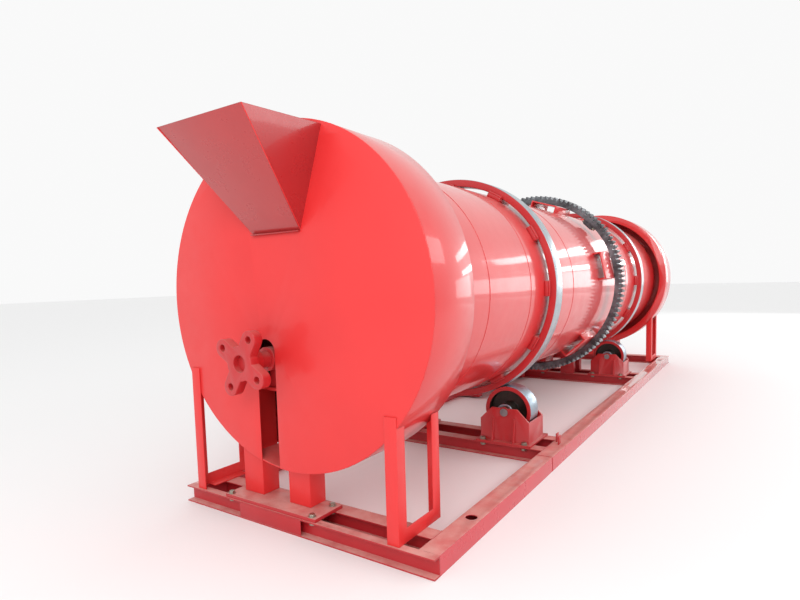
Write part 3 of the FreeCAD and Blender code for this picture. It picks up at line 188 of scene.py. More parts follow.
def enamel(name, colour, darker, gloss, coat, dust, wear, wave=0.25,
           peel=0.06):
    """Sprayed alkyd enamel on steel sheet: a clear coat over the pigment."""
    made, tree, shader, place = new_finish(name)
    drift = noise(tree, place, SHEET_WAVE * 1.3, 3.0)
    tone = blend_of(tree, drift.outputs["Fac"], linear(colour), linear(darker))

    patch = noise(tree, place, DUST_PATCH, 6.0, 0.65)
    facing = add(tree, "ShaderNodeSeparateXYZ",
                 {0: add(tree, "ShaderNodeNewGeometry").outputs["Normal"]})
    upward = ranged(tree, facing.outputs["Z"], 0.25, 1.0, 0.03)
    lying = add(tree, "ShaderNodeMath",
                {0: upward, 1: patch.outputs["Fac"]}, operation="MULTIPLY")
    dusty = ranged(tree, lying.outputs[0], 0.05, 0.6, high=dust)
    toned = blend_of(tree, dusty, tone, linear(DUST_COLOUR))

    soft = add(tree, "ShaderNodeBevel", {"Radius": 0.004}, samples=4)
    hard = add(tree, "ShaderNodeNewGeometry")
    meet = add(tree, "ShaderNodeVectorMath",
               {0: soft.outputs[0], 1: hard.outputs["Normal"]},
               operation="DOT_PRODUCT")
    edge = ranged(tree, meet.outputs["Value"], 0.985, 0.86)
    rub = noise(tree, place, 38.0, 5.0, 0.7)
    rubbed = ranged(tree, rub.outputs["Fac"], 0.52, 0.6, high=wear)
    bare = add(tree, "ShaderNodeMath", {0: edge, 1: rubbed},
               operation="MULTIPLY")
    worn = blend_of(tree, bare.outputs[0], toned, linear(PRIMER))
    tree.links.new(worn, shader.inputs["Base Color"])

    matt = ranged(tree, patch.outputs["Fac"], 0.3, 0.75, gloss, gloss + 0.12)
    rough = add(tree, "ShaderNodeMath", {0: dusty, 1: 0.45, 2: matt},
                operation="MULTIPLY_ADD")
    tree.links.new(rough.outputs[0], shader.inputs["Roughness"])
    shader.inputs["IOR"].default_value = 1.5
    shader.inputs["Coat Weight"].default_value = coat
    shader.inputs["Coat Roughness"].default_value = 0.07

    skin = noise(tree, place, ORANGE_PEEL, 2.0)
    swell = noise(tree, place, SHEET_WAVE, 2.0)
    waves = add(tree, "ShaderNodeBump",
                {"Strength": wave, "Distance": 0.02,
                 "Height": swell.outputs["Fac"], "Normal": soft.outputs[0]})
    peeled = add(tree, "ShaderNodeBump",
                 {"Strength": peel, "Distance": 0.001,
                  "Height": skin.outputs["Fac"],
                  "Normal": waves.outputs[0]})
    tree.links.new(peeled.outputs[0], shader.inputs["Normal"])
    tree.links.new(peeled.outputs[0], shader.inputs["Coat Normal"])
    return made


shell_enamel = enamel("gloss_red_enamel_on_rolled_plate", "#dc2c2c",
                      "#cf2529", 0.3, 0.7, 0.35, 0.3, wave=0.05)
hood_enamel = enamel("satin_red_enamel_on_flat_sheet", "#e52f2f", "#da2a2b",
                     0.42, 0.2, 0.10, 0.5, wave=0.06)
# The hopper's red is set darker than the hood's, as painted shade on its outer
# walls, which face down; the enamel is the same.
hopper_enamel_with_painted_shade = enamel("dulled_red_enamel_on_hopper_sheet", "#b92c2d",
                       "#a4282b", 0.24, 0.5, 0.25, 0.6, wave=0.12)
frame_enamel = enamel("dusty_red_enamel_on_section_steel", "#c0222a",
                      "#a81b22", 0.42, 0.15, 0.8, 1.0, wave=0.08,
                      peel=0.12)
beam_enamel = enamel("gloss_red_enamel_on_box_section", "#cf3a44",
                     "#c22f3a", 0.24, 0.9, 0.95, 0.8, wave=0.04,
                     peel=0.08)
casting_enamel = enamel("red_enamel_on_cast_iron", "#c9262a", "#b01f24",
                        0.36, 0.35, 0.35, 0.8, wave=0.15, peel=0.4)
drive_enamel = enamel("blue_grey_machine_enamel", "#5f7380", "#556874",
                      0.35, 0.4, 0.45, 0.6, wave=0.2, peel=0.35)
print("enamels:", len(bpy.data.materials))

# %% [markdown]
# Bare steel keeps the marks of how it was made. The riding rings and rollers
# were turned on a lathe and then rolled bright against each other, so their
# treads show fine bands round the axis. A metal is metallic 1 with the
# default IOR, and its roughness and colour carry the finish.

# %% Turned and rolled steel
def metal(name, colour, darker, roughness, bands=None, band_pitch=0.004,
          grime=0.0, pits=0.1, grime_colour="#2a2523"):
    """Bare steel. bands is the axis along which turning marks repeat."""
    made, tree, shader, place = new_finish(name)
    shader.inputs["Metallic"].default_value = 1.0
    stain = noise(tree, place, 9.0, 7.0, 0.62)
    tone = blend_of(tree, stain.outputs["Fac"], linear(colour),
                    linear(darker))
    greased = ranged(tree, stain.outputs["Fac"], 0.66 - grime,
                     0.8 - grime * 0.6, high=min(1.0, grime * 2.0))
    dirty = blend_of(tree, greased, tone, linear(grime_colour))
    tree.links.new(dirty, shader.inputs["Base Color"])
    rough = ranged(tree, stain.outputs["Fac"], 0.25, 0.75, roughness,
                   roughness + 0.2)
    tree.links.new(rough, shader.inputs["Roughness"])
    soft = add(tree, "ShaderNodeBevel", {"Radius": 0.0025}, samples=4)
    grit = noise(tree, place, 160.0, 4.0)
    rough_skin = add(tree, "ShaderNodeBump",
                     {"Strength": pits, "Distance": 0.001,
                      "Height": grit.outputs["Fac"],
                      "Normal": soft.outputs[0]})
    last = rough_skin.outputs[0]
    if bands:
        stretched = add(tree, "ShaderNodeMapping", {"Vector": place})
        scale = {"x": (1, 0, 0), "y": (0, 1, 0), "z": (0, 0, 1)}[bands]
        stretched.inputs["Scale"].default_value = [
            s / band_pitch for s in scale]
        marks = noise(tree, stretched.outputs[0], 1.0, 3.0)
        lines = add(tree, "ShaderNodeBump",
                    {"Strength": 0.35, "Distance": 0.0008,
                     "Height": marks.outputs["Fac"], "Normal": last})
        last = lines.outputs[0]
    tree.links.new(last, shader.inputs["Normal"])
    return made


ring_steel = metal("rolled_bright_ring_steel", "#c3ccd2", "#8b969d", 0.2,
                   bands="y", band_pitch=0.006, grime=0.05)
roller_steel = metal("rolled_bright_roller_steel", "#b5c4d0", "#7f8f9c", 0.22,
                     bands="y", band_pitch=0.005, grime=0.12)
gear_steel = metal("greased_cut_gear_steel", "#8b9095", "#565b60", 0.34,
                   grime=0.3, pits=0.25)
shaft_steel = metal("turned_shaft_steel", "#b9bdc0", "#8a8f92", 0.24,
                    bands="y", band_pitch=0.003, grime=0.14)
zinc = metal("zinc_plated_bolt_steel", "#b8b3a6", "#8f8a7c", 0.32, grime=0.16,
             pits=0.2)
bronze = metal("oiled_bearing_bronze", "#b98a4c", "#8a6232", 0.28, bands="y",
               band_pitch=0.003, grime=0.15)
plate_steel = metal("scoured_mill_plate", "#8a7f77", "#6b5a50", 0.45,
                    grime=0.2, pits=0.5, grime_colour="#5a3a2a")
print("materials so far:", len(bpy.data.materials))

# %% [markdown]
# Grease and the rubber of a coupling are not metal at all: they are soft and
# dark, and grease looks wet. The grease fills the rollers' recesses, where its
# dark colour is also painted shade.

# %% Grease and rubber
def soft_black(name, colour, roughness, lumps):
    """A dark soft stuff: grease, or the rubber of a coupling."""
    made, tree, shader, place = new_finish(name)
    lump = noise(tree, place, lumps, 4.0)
    tone = blend_of(tree, lump.outputs["Fac"], linear(colour),
                    linear("#3b322c"))
    tree.links.new(tone, shader.inputs["Base Color"])
    shader.inputs["Roughness"].default_value = roughness
    bumpy = add(tree, "ShaderNodeBump",
                {"Strength": 0.5, "Distance": 0.003,
                 "Height": lump.outputs["Fac"]})
    tree.links.new(bumpy.outputs[0], shader.inputs["Normal"])
    return made


# Its dark colour stands for grease and, in the roller recesses, for painted
# shade as well.
grease_and_recess_shade = soft_black("dark_bearing_grease", "#15110e", 0.28, 60.0)
rubber = soft_black("black_coupling_rubber", "#191919", 0.6, 200.0)
print("soft blacks:", grease_and_recess_shade.name, rubber.name)

# %% [markdown]
# Every piece is a mesh whose object sits at the origin, and each rides on one
# body of the frame. One function closes a piece: it gives it the finish, the
# body and the imported parts that it stands for.

# %% Close a piece
def piece(name, mesh, finish, body, stands_for=(), smooth=35):
    """Puts a finished mesh in the scene as a piece that rides on a body."""
    if finish is not None:
        mesh.materials.clear()
        mesh.materials.append(finish)
    mesh.shade_smooth()
    mesh.set_sharp_from_angle(angle=math.radians(smooth))
    made = bpy.data.objects.new(name, mesh)
    bpy.context.scene.collection.objects.link(made)
    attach(made, body)
    if stands_for:
        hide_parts(*stands_for)
    return made


def refinish(finish, *names):
    """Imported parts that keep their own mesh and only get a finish."""
    for name in names:
        nodes[name].data.materials[0] = finish


def mesh_of(build, name):
    """A mesh from a bmesh, with doubles merged and faces turned outwards."""
    bmesh.ops.remove_doubles(build, verts=build.verts, dist=1e-5)
    bmesh.ops.recalc_face_normals(build, faces=build.faces)
    mesh = bpy.data.meshes.new(name)
    build.to_mesh(mesh)
    build.free()
    return mesh


def plain(thing, name):
    """The evaluated object as a plain mesh."""
    bpy.context.view_layer.update()
    shown = thing.evaluated_get(bpy.context.evaluated_depsgraph_get())
    mesh = bpy.data.meshes.new_from_object(shown)
    mesh.name = name
    bpy.data.objects.remove(thing)
    return mesh


print("ready for pieces")

# %% [markdown]
# Round parts come off a lathe or a plate roll, so they are made the same way:
# an outline in radius and length is turned round the machine's axis. Real
# corners are never razor sharp. Each corner of the outline is eased with a
# small arc first, and that arc is what catches the light along a rim.

# %% Turn an outline
def eased(outline, size):
    """The outline with every corner replaced by a short arc."""
    points = []
    count = len(outline)
    for i in range(count):
        before, here, after = (Vector(outline[(i + k) % count])
                               for k in (-1, 0, 1))
        back, on = before - here, after - here
        cut = min(size, back.length * 0.45, on.length * 0.45)
        first = here + back.normalized() * cut
        last = here + on.normalized() * cut
        for t in (0.0, 0.33, 0.67, 1.0):
            points.append(first * (1 - t) ** 2 + here * 2 * t * (1 - t)
                          + last * t ** 2)
    return points


def turned(name, outline, steps, at=(0.0, 0.0), along="y", ripple=None):
    """A closed outline of (radius, length) turned round an axis.

    at is where the axis crosses the other two directions. ripple moves a
    point's radius by a small amount, for plate that isn't perfectly round.
    """
    build = bmesh.new()
    rings = []
    for i in range(steps):
        angle = 2 * math.pi * i / steps
        ring = []
        for radius, length in outline:
            r = radius + (ripple(angle, length) if ripple else 0.0)
            u, v = at[0] + r * math.cos(angle), at[1] + r * math.sin(angle)
            ring.append(build.verts.new(
                (u, length, v) if along == "y" else (u, v, length)))
        rings.append(ring)
    count = len(outline)
    for i in range(steps):
        for j in range(count):
            a, b = rings[i], rings[(i + 1) % steps]
            build.faces.new((a[j], a[(j + 1) % count],
                             b[(j + 1) % count], b[j]))
    return mesh_of(build, name)


print("an eased square has", len(eased([(0, 0), (1, 0), (1, 1), (0, 1)], 0.1)),
      "points")

# %% [markdown]
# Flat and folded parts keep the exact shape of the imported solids. Their
# triangles are merged back into flat faces and the edges are given a small
# round with a Bevel modifier, as rolled sections and sheared plates have.

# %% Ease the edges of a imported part
def softened(node, width, finish, segments=2, name=None, smooth=35,
             limit=40):
    """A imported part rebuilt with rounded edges, standing for the original."""
    build = bmesh.new()
    build.from_mesh(nodes[node].data)
    bmesh.ops.remove_doubles(build, verts=build.verts, dist=2e-5)
    bmesh.ops.dissolve_limit(build, angle_limit=math.radians(0.5),
                             verts=build.verts, edges=build.edges)
    mesh = bpy.data.meshes.new(node + "_flat")
    build.to_mesh(mesh)
    build.free()
    thing = bpy.data.objects.new(node + "_flat", mesh)
    bpy.context.scene.collection.objects.link(thing)
    easing = thing.modifiers.new("edges", "BEVEL")
    easing.width = width
    easing.segments = segments
    easing.limit_method = "ANGLE"
    easing.angle_limit = math.radians(limit)
    mesh = plain(thing, node + "_eased")
    return piece(name or node + "_eased", mesh, finish,
                 nodes[node]["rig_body"], [node], smooth)


print("packed parts ready to ease:", len(nodes))

# %% [markdown]
# The whole machine is welded. A weld is a row of overlapping puddles, so its
# section swells and shrinks at an even pitch. This is a rule that follows a
# path, which suits Geometry Nodes: resample the path at the pitch, sweep a
# small circle along it, and let its scale alternate from puddle to puddle.
# The real pitch is about 4 mm; it is drawn at the Pitch input.

# %% The weld tree
def socket(tree, name, kind, value=None):
    """A named input of a geometry tree; returns its identifier."""
    made = tree.interface.new_socket(name, in_out="INPUT", socket_type=kind)
    if value is not None:
        made.default_value = value
    return made.identifier


def new_tree(name):
    """An empty geometry tree with its geometry going in and coming out."""
    tree = bpy.data.node_groups.new(name, "GeometryNodeTree")
    tree.interface.new_socket("Geometry", in_out="INPUT",
                              socket_type="NodeSocketGeometry")
    tree.interface.new_socket("Geometry", in_out="OUTPUT",
                              socket_type="NodeSocketGeometry")
    return tree


def close_tree(tree, geometry, finish):
    """Ends a tree in Realize Instances and Set Material."""
    real = add(tree, "GeometryNodeRealizeInstances", {0: geometry})
    painted = add(tree, "GeometryNodeSetMaterial",
                  {0: real.outputs[0], 2: finish})
    add(tree, "NodeGroupOutput", {0: painted.outputs[0]})


weld_tree = new_tree("weld_bead")
WELD = {"radius": socket(weld_tree, "Bead radius", "NodeSocketFloat", 0.004),
        "pitch": socket(weld_tree, "Pitch", "NodeSocketFloat", 0.01),
        "seed": socket(weld_tree, "Seed", "NodeSocketInt", 3),
        "finish": socket(weld_tree, "Finish", "NodeSocketMaterial")}
given = add(weld_tree, "NodeGroupInput")
path = add(weld_tree, "GeometryNodeResampleCurve",
           {0: given.outputs["Geometry"], 3: given.outputs["Pitch"]},
           mode="LENGTH")
number = add(weld_tree, "GeometryNodeInputIndex")
puddle = add(weld_tree, "ShaderNodeMath", {0: number.outputs[0], 1: 2.0},
             operation="MODULO")
uneven = add(weld_tree, "FunctionNodeRandomValue",
             {2: 0.82, 3: 1.05, "Seed": given.outputs["Seed"]},
             data_type="FLOAT")
swelling = add(weld_tree, "ShaderNodeMath",
               {0: puddle.outputs[0], 1: 0.22, 2: uneven.outputs[1]},
               operation="MULTIPLY_ADD")
section = add(weld_tree, "GeometryNodeCurvePrimitiveCircle",
              {"Resolution": 6, "Radius": given.outputs["Bead radius"]})
swept = add(weld_tree, "GeometryNodeCurveToMesh",
            {0: path.outputs[0], 1: section.outputs[0],
             2: swelling.outputs[0], 3: True})
close_tree(weld_tree, swept.outputs[0], given.outputs["Finish"])


def weld(name, paths, body, finish, radius=0.004, pitch=0.01):
    """Weld beads along a list of paths; a path is points and closed or not."""
    line = bpy.data.curves.new(name, "CURVE")
    line.dimensions = "3D"
    for points, closed in paths:
        run = line.splines.new("POLY")
        run.points.add(len(points) - 1)
        for spot, point in zip(run.points, points):
            spot.co = (*point, 1.0)
        run.use_cyclic_u = closed
    thing = bpy.data.objects.new(name, line)
    bpy.context.scene.collection.objects.link(thing)
    rule = thing.modifiers.new("weld", "NODES")
    rule.node_group = weld_tree
    rule[WELD["radius"]] = radius
    rule[WELD["pitch"]] = pitch
    rule[WELD["finish"]] = finish
    mesh = plain(thing, name)
    made = piece(name, mesh, None, body, smooth=60)
    print(f"{name}: {len(mesh.polygons)} faces along {len(paths)} paths")
    return made


def circle(radius, y, at=None, steps=160):
    """Points round the machine's axis at a place along it."""
    x, z = at or (axis.x, axis.z)
    return [(x + radius * math.cos(2 * math.pi * i / steps), y,
             z + radius * math.sin(2 * math.pi * i / steps))
            for i in range(steps)]


print("weld inputs:", sorted(WELD))

# %% [markdown]
# Bolts repeat by the dozen. One bolt is modelled with its washer, its
# chamfered hexagon head and the shadow line between them, then a tree puts it
# on every point of a mesh, turned to the point's facing and sized by it, with
# a different turn of the head at each, because nobody lines up bolt heads.

# %% One bolt
def bolt_mesh():
    """A hexagon bolt head on a washer, for a shank of radius 1, along +Z."""
    build = bmesh.new()

    def drum(levels, sides, turn=0.0):
        rings = []
        for radius, height in levels:
            rings.append([build.verts.new(
                (radius * math.cos(turn + 2 * math.pi * i / sides),
                 radius * math.sin(turn + 2 * math.pi * i / sides), height))
                for i in range(sides)])
        for low, high in zip(rings, rings[1:]):
            for i in range(sides):
                build.faces.new((low[i], low[(i + 1) % sides],
                                 high[(i + 1) % sides], high[i]))
        build.faces.new(rings[0][::-1])
        build.faces.new(rings[-1])

    drum([(1.9, 0.0), (2.0, 0.06), (2.0, 0.28), (1.9, 0.34)], 24)
    drum([(1.55, 0.3), (1.73, 0.42), (1.73, 1.45), (1.5, 1.62)], 6)
    drum([(0.55, 1.55), (0.55, 1.66)], 12)
    return mesh_of(build, "bolt")


bolt = bpy.data.objects.new("bolt_pattern", bolt_mesh())
print("bolt faces:", len(bolt.data.polygons))

# %% The bolt tree
bolt_tree = new_tree("bolts_on_points")
BOLT = {"part": socket(bolt_tree, "Part", "NodeSocketObject"),
        "turn": socket(bolt_tree, "Turn at random", "NodeSocketFloat", 1.05),
        "seed": socket(bolt_tree, "Seed", "NodeSocketInt", 7),
        "finish": socket(bolt_tree, "Finish", "NodeSocketMaterial")}
given = add(bolt_tree, "NodeGroupInput")
facing = add(bolt_tree, "GeometryNodeInputNamedAttribute",
             {"Name": "facing"}, data_type="FLOAT_VECTOR")
size = add(bolt_tree, "GeometryNodeInputNamedAttribute", {"Name": "size"},
           data_type="FLOAT")
aimed = add(bolt_tree, "FunctionNodeAlignRotationToVector",
            {"Vector": facing.outputs[0]}, axis="Z")
chance = add(bolt_tree, "FunctionNodeRandomValue",
             {2: 0.0, 3: given.outputs["Turn at random"],
              "Seed": given.outputs["Seed"]}, data_type="FLOAT")
twist = add(bolt_tree, "FunctionNodeAxisAngleToRotation",
            {0: (0.0, 0.0, 1.0), 1: chance.outputs[1]})
spun = add(bolt_tree, "FunctionNodeRotateRotation",
           {0: aimed.outputs[0], 1: twist.outputs[0]}, rotation_space="LOCAL")
part = add(bolt_tree, "GeometryNodeObjectInfo", {0: given.outputs["Part"]})
placed = add(bolt_tree, "GeometryNodeInstanceOnPoints",
             {"Points": given.outputs["Geometry"],
              "Instance": part.outputs["Geometry"],
              "Rotation": spun.outputs[0], "Scale": size.outputs[0]})
close_tree(bolt_tree, placed.outputs[0], given.outputs["Finish"])


def scattered(name, spots, pattern, finish, body, stands_for=(),
              smooth=35, turn=1.05):
    """A pattern on every (point, facing, size)."""
    mesh = bpy.data.meshes.new(name)
    mesh.from_pydata([spot[0] for spot in spots], [], [])
    way = mesh.attributes.new("facing", "FLOAT_VECTOR", "POINT")
    way.data.foreach_set("vector", [v for spot in spots for v in spot[1]])
    scale = mesh.attributes.new("size", "FLOAT", "POINT")
    scale.data.foreach_set("value", [spot[2] for spot in spots])
    thing = bpy.data.objects.new(name, mesh)
    bpy.context.scene.collection.objects.link(thing)
    rule = thing.modifiers.new("bolts", "NODES")
    rule.node_group = bolt_tree
    rule[BOLT["part"]] = pattern
    rule[BOLT["turn"]] = turn
    rule[BOLT["finish"]] = finish
    made = piece(name, plain(thing, name), None, body, stands_for,
                 smooth)
    print(f"{name}: {len(spots)} at {len(made.data.polygons)} faces")
    return made


def islands(node):
    """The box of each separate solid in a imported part."""
    build = bmesh.new()
    build.from_mesh(nodes[node].data)
    bmesh.ops.remove_doubles(build, verts=build.verts, dist=2e-5)
    seen, boxes = set(), []
    for start in build.verts:
        if start.index in seen:
            continue
        seen.add(start.index)
        heap, low, high = [start], start.co.copy(), start.co.copy()
        while heap:
            here = heap.pop()
            for k in range(3):
                low[k] = min(low[k], here.co[k])
                high[k] = max(high[k], here.co[k])
            for link in here.link_edges:
                other = link.other_vert(here)
                if other.index not in seen:
                    seen.add(other.index)
                    heap.append(other)
        boxes.append((low, high))
    build.free()
    return boxes


print("frame bolts:", len(islands("frame_bolts")))

# %% [markdown]
# The drum shell is the largest surface, and its gloss shows every mistake. It
# is plate bent in a roll and welded into rings, so it isn't perfectly round:
# it keeps faint flats along its length and pulls in a little at each weld.
# The outline is stepped finely along the drum, and the ripple is under a
# millimetre, enough to bend a reflection as real plate does.

# %% The drum shell
SHELL_WALL = 12 * MM
ring_front = centre("front_riding_ring").y
ring_back = centre("rear_riding_ring").y
seams = [shell_front + 0.62, ring_front - 0.36, ring_front + 0.62,
         ring_back - 0.55, ring_back + 0.62]


def rolled(angle, y):
    """How far rolled plate strays from a true circle, inwards only."""
    flats = 0.5 + 0.5 * math.sin(7 * angle + 1.7 * y)
    slow = 0.5 + 0.5 * math.sin(3 * angle - 0.9 * y + 1.0)
    pull = sum(math.exp(-((y - seam) / 0.035) ** 2) for seam in seams)
    return -(0.12 * flats + 0.25 * slow + 0.5 * pull) * MM


stations = 120
outer = [(shell_radius,
          shell_front + (shell_back - shell_front) * i / stations)
         for i in range(stations + 1)]
inner = [(shell_radius - SHELL_WALL, y) for y in (shell_back, shell_front)]
shell = piece("rolled_drum_shell",
              turned("rolled_drum_shell", outer + inner, 224,
                     (axis.x, axis.z), ripple=rolled),
              shell_enamel, "drum", ["drum_shell"])
print("shell faces:", len(shell.data.polygons))

# %% Shell welds
def lengthwise(angle, start, end, radius):
    """A straight path along the shell at an angle round it."""
    x, z = (axis.x + radius * math.cos(angle),
            axis.z + radius * math.sin(angle))
    return [(x, start, z), (x, end, z)]


turns = [0.9, 4.1, 2.2, 5.3, 3.0, 0.3]
cans = [shell_front + 0.01, *seams, shell_back - 0.01]
weld("shell_weld_beads",
     [(circle(shell_radius - 1.2 * MM, seam, steps=240), True)
      for seam in seams]
     + [(lengthwise(turn, start, end, shell_radius - 1.0 * MM), False)
        for turn, start, end in zip(turns, cans, cans[1:])],
     "drum", shell_enamel, radius=3.2 * MM, pitch=12 * MM)

# %% [markdown]
# The two riding rings carry the drum on the rollers. Each is a heavy forging,
# turned all over, with a broad chamfer where the tread meets the sides. The
# tread is rolled bright, and the sides are painted by the shop with the rest.
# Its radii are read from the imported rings.

# %% Riding rings
RING_CHAMFER = 5 * MM
LOOKS_ALONG = 0.8       # a face's normal has at least this much along the axis
ring_bore = bore_of("front_riding_ring", axis)


def painted_sides(thing, side_finish):
    """Gives the faces that look along the axis a second finish."""
    thing.data.materials.append(side_finish)
    for face in thing.data.polygons:
        if abs(face.normal.y) > LOOKS_ALONG:
            face.material_index = 1


for node in ("front_riding_ring", "rear_riding_ring"):
    start, end = span(node)
    radius = reach(node)
    outline = eased([(ring_bore, start), (radius, start), (radius, end),
                     (ring_bore, end)], RING_CHAMFER)
    ring = piece("turned_" + node,
                 turned("turned_" + node, outline, 288, (axis.x, axis.z)),
                 ring_steel, "drum", [node])
    painted_sides(ring, casting_enamel)
    print(ring.name, "radius", round(radius, 3))

# %% Filler bars and ring stops under the rings
softened("ring_filler_bars", 2.5 * MM, casting_enamel)
softened("ring_stops", 2 * MM, casting_enamel)
softened("lifting_flights", 1.5 * MM, plate_steel)
softened("feed_end_dam", 2 * MM, plate_steel)
print("drum fittings eased")

# %% [markdown]
# The girth gear sits on folded plates that are welded to the shell. The
# packed teeth are true involutes, so they stay. The plates get the fillet
# weld along each foot. The gear is cast in two halves, and studs with big
# nuts draw the halves together at two joints.

# %% Gear fastenings
gear_start, gear_end = span("girth_gear")
softened("gear_spring_plates", 2 * MM, shell_enamel)
PLATE_HALF = 130 * MM
foot_paths = []
for low, high in islands("gear_spring_plates"):
    mid = (low + high) / 2
    out = math.atan2(mid.z - axis.z, mid.x - axis.x)
    lean = math.asin(PLATE_HALF / shell_radius)
    for way in (-1, 1):
        foot_paths.append((lengthwise(out + way * lean, low.y + 4 * MM,
                                      gear_start - 6 * MM,
                                      shell_radius + 1 * MM), False))
weld("spring_plate_welds", foot_paths, "drum", shell_enamel,
     radius=4.5 * MM, pitch=10 * MM)
print("spring plates:", len(islands("gear_spring_plates")))
refinish(gear_steel, "girth_gear", "pinion")
gear_bore = bore_of("girth_gear", axis)
gear_mid = (gear_start + gear_end) / 2
LUG = (0.11, 0.1, 0.044)


def lug_mesh():
    """A cast lug with rounded edges; its top is at z 0."""
    build = bmesh.new()
    bmesh.ops.create_cube(build, size=1.0, matrix=Matrix.Translation(
        (0, 0, -LUG[2] / 2)) @ Matrix.Diagonal((*LUG, 1)))
    bmesh.ops.bevel(build, geom=build.edges[:], offset=0.006, segments=2,
                    affect="EDGES")
    return mesh_of(build, "lug")


lug = bpy.data.objects.new("lug_pattern", lug_mesh())
JOINTS = (0.785, 0.785 + math.pi)
NUT_ASIDE = 26 * MM
lug_spots, nut_spots = [], []
for turn in JOINTS:
    out = Vector((math.cos(turn), 0, math.sin(turn)))
    side = Vector((-out.z, 0, out.x))
    seat = Vector((axis.x, gear_mid, axis.z)) + out * (gear_bore + 2 * MM)
    lug_spots.append((seat, tuple(out), 1.0))
    for way in (-1, 1):
        for along in (-NUT_ASIDE, NUT_ASIDE):
            nut_spots.append((seat - out * 24 * MM + side * way * 55 * MM
                              + Vector((0, along, 0)), tuple(side * way),
                              9 * MM))
scattered("gear_joint_lugs", lug_spots, lug, gear_steel, "drum",
          turn=0.0)
scattered("gear_joint_nuts", nut_spots, bolt, zinc, "drum")

# %% [markdown]
# The support rollers are castings with a rim, a web and a hub. The tread runs
# bright against the ring, the recess between hub and rim is all dark grease,
# which is partly painted shade of the recess, and the sides are painted. A
# keeper ring holds each axle at the cheek.

# %% Support rollers
STATIONS = [(place, hand) for place in ("front", "rear")
            for hand in ("right", "left")]
ROLLER_RIM = 34 * MM
ROLLER_WEB = 34 * MM
ROLLER_HUB = 62 * MM
for place, hand in STATIONS:
    node = f"support_roller_{place}_{hand}"
    mid = centre(node)
    low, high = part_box(node)
    radius = reach(node)
    rim = [v.co for v in nodes[node].data.vertices
           if math.hypot(v.co.x - mid.x, v.co.z - mid.z) > radius - 1 * MM]
    rim_start, rim_end = min(c.y for c in rim), max(c.y for c in rim)
    bore = bore_of(node, mid)
    half = ROLLER_WEB / 2
    outline = [(bore, low.y), (ROLLER_HUB, low.y), (ROLLER_HUB, mid.y - half),
               (radius - ROLLER_RIM, mid.y - half),
               (radius - ROLLER_RIM, rim_start), (radius, rim_start),
               (radius, rim_end), (radius - ROLLER_RIM, rim_end),
               (radius - ROLLER_RIM, mid.y + half), (ROLLER_HUB, mid.y + half),
               (ROLLER_HUB, high.y), (bore, high.y)]
    wheel = piece("turned_" + node,
                  turned("turned_" + node, eased(outline, 4 * MM), 144,
                         (mid.x, mid.z)),
                  roller_steel, f"{place}_{hand}_roller",
                  [node])
    wheel.data.materials.append(casting_enamel)
    # The whole recess between hub and rim gets the dark grease, which is partly
    # painted shade of the recess.
    wheel.data.materials.append(grease_and_recess_shade)
    for face in wheel.data.polygons:
        off = math.hypot(face.center.x - mid.x, face.center.z - mid.z)
        flat = abs(face.normal.y) > LOOKS_ALONG
        if flat and off > radius - ROLLER_RIM:
            face.material_index = 1
        elif ROLLER_HUB - 1 * MM < off < radius - 6 * MM:
            face.material_index = 2
print("rollers:", len(STATIONS), "bore", round(bore, 4))

# %% [markdown]
# A roller bracket is cut from plate and welded: two cheeks, two end plates,
# ribs and a base. Its edges are sheared, so they are only slightly round. A
# fillet weld runs along the foot of each cheek and up beside each rib.

# %% Roller brackets and their welds
BRACKET_BASE = 16 * MM
CHEEK_OUT = 150 * MM
RIB_OUT = 84 * MM
CHEEK_HALF = 194 * MM
RIB_HALF = 7 * MM
for place, hand in STATIONS:
    node = f"roller_bracket_{place}_{hand}"
    low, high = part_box(node)
    mid = centre(node)
    softened(node, 2 * MM, casting_enamel)
    base_top = low.z + BRACKET_BASE
    foot = []
    for way in (-1, 1):
        y = mid.y + way * CHEEK_OUT
        foot.append(([(mid.x - CHEEK_HALF, y, base_top),
                      (mid.x + CHEEK_HALF, y, base_top)], False))
        for side in (-1, 1):
            x = mid.x + side * RIB_OUT - RIB_HALF
            foot.append(([(x, y, base_top), (x, y, mid.z + 12 * MM)], False))
    weld(f"bracket_welds_{place}_{hand}", foot, "frame", casting_enamel,
         radius=4.5 * MM, pitch=9 * MM)

# %% Axles and keeper rings
refinish(shaft_steel, "roller_axles")
refinish(bronze, "roller_bushes")
AXLE_RADIUS = 30 * MM
KEEPER_THICK = 7 * MM
for place, hand in STATIONS:
    mid = centre(f"support_roller_{place}_{hand}")
    for way in (-1, 1):
        cheek_face = mid.y + way * CHEEK_OUT
        outline = [(AXLE_RADIUS + 1 * MM, cheek_face),
                   (AXLE_RADIUS + 10 * MM, cheek_face),
                   (AXLE_RADIUS + 10 * MM, cheek_face + way * KEEPER_THICK),
                   (AXLE_RADIUS + 1 * MM, cheek_face + way * KEEPER_THICK)]
        word = "near" if way < 0 else "far"
        piece(f"axle_keeper_{place}_{hand}_{word}",
              turned("axle_keeper", eased(outline, 1.5 * MM), 48,
                     (mid.x, mid.z)), casting_enamel, "frame")
print("axles, bushes and their keeper rings")

# %% [markdown]
# The feed hood is a flat disc of sheet with a rolled rim behind it. A rounded
# weld runs round the front edge, and this bright line draws the circle.

# %% Feed hood rim
softened("feed_hood_rim", 2 * MM, shell_enamel, limit=50)
softened("feed_face_plate", 1.2 * MM, hood_enamel, limit=50)
weld("hood_rim_weld", [(circle(hood_radius - 2.2 * MM, hood_front + 1 * MM,
                               steps=240), True)],
     "frame", hood_enamel, radius=3 * MM, pitch=12 * MM)
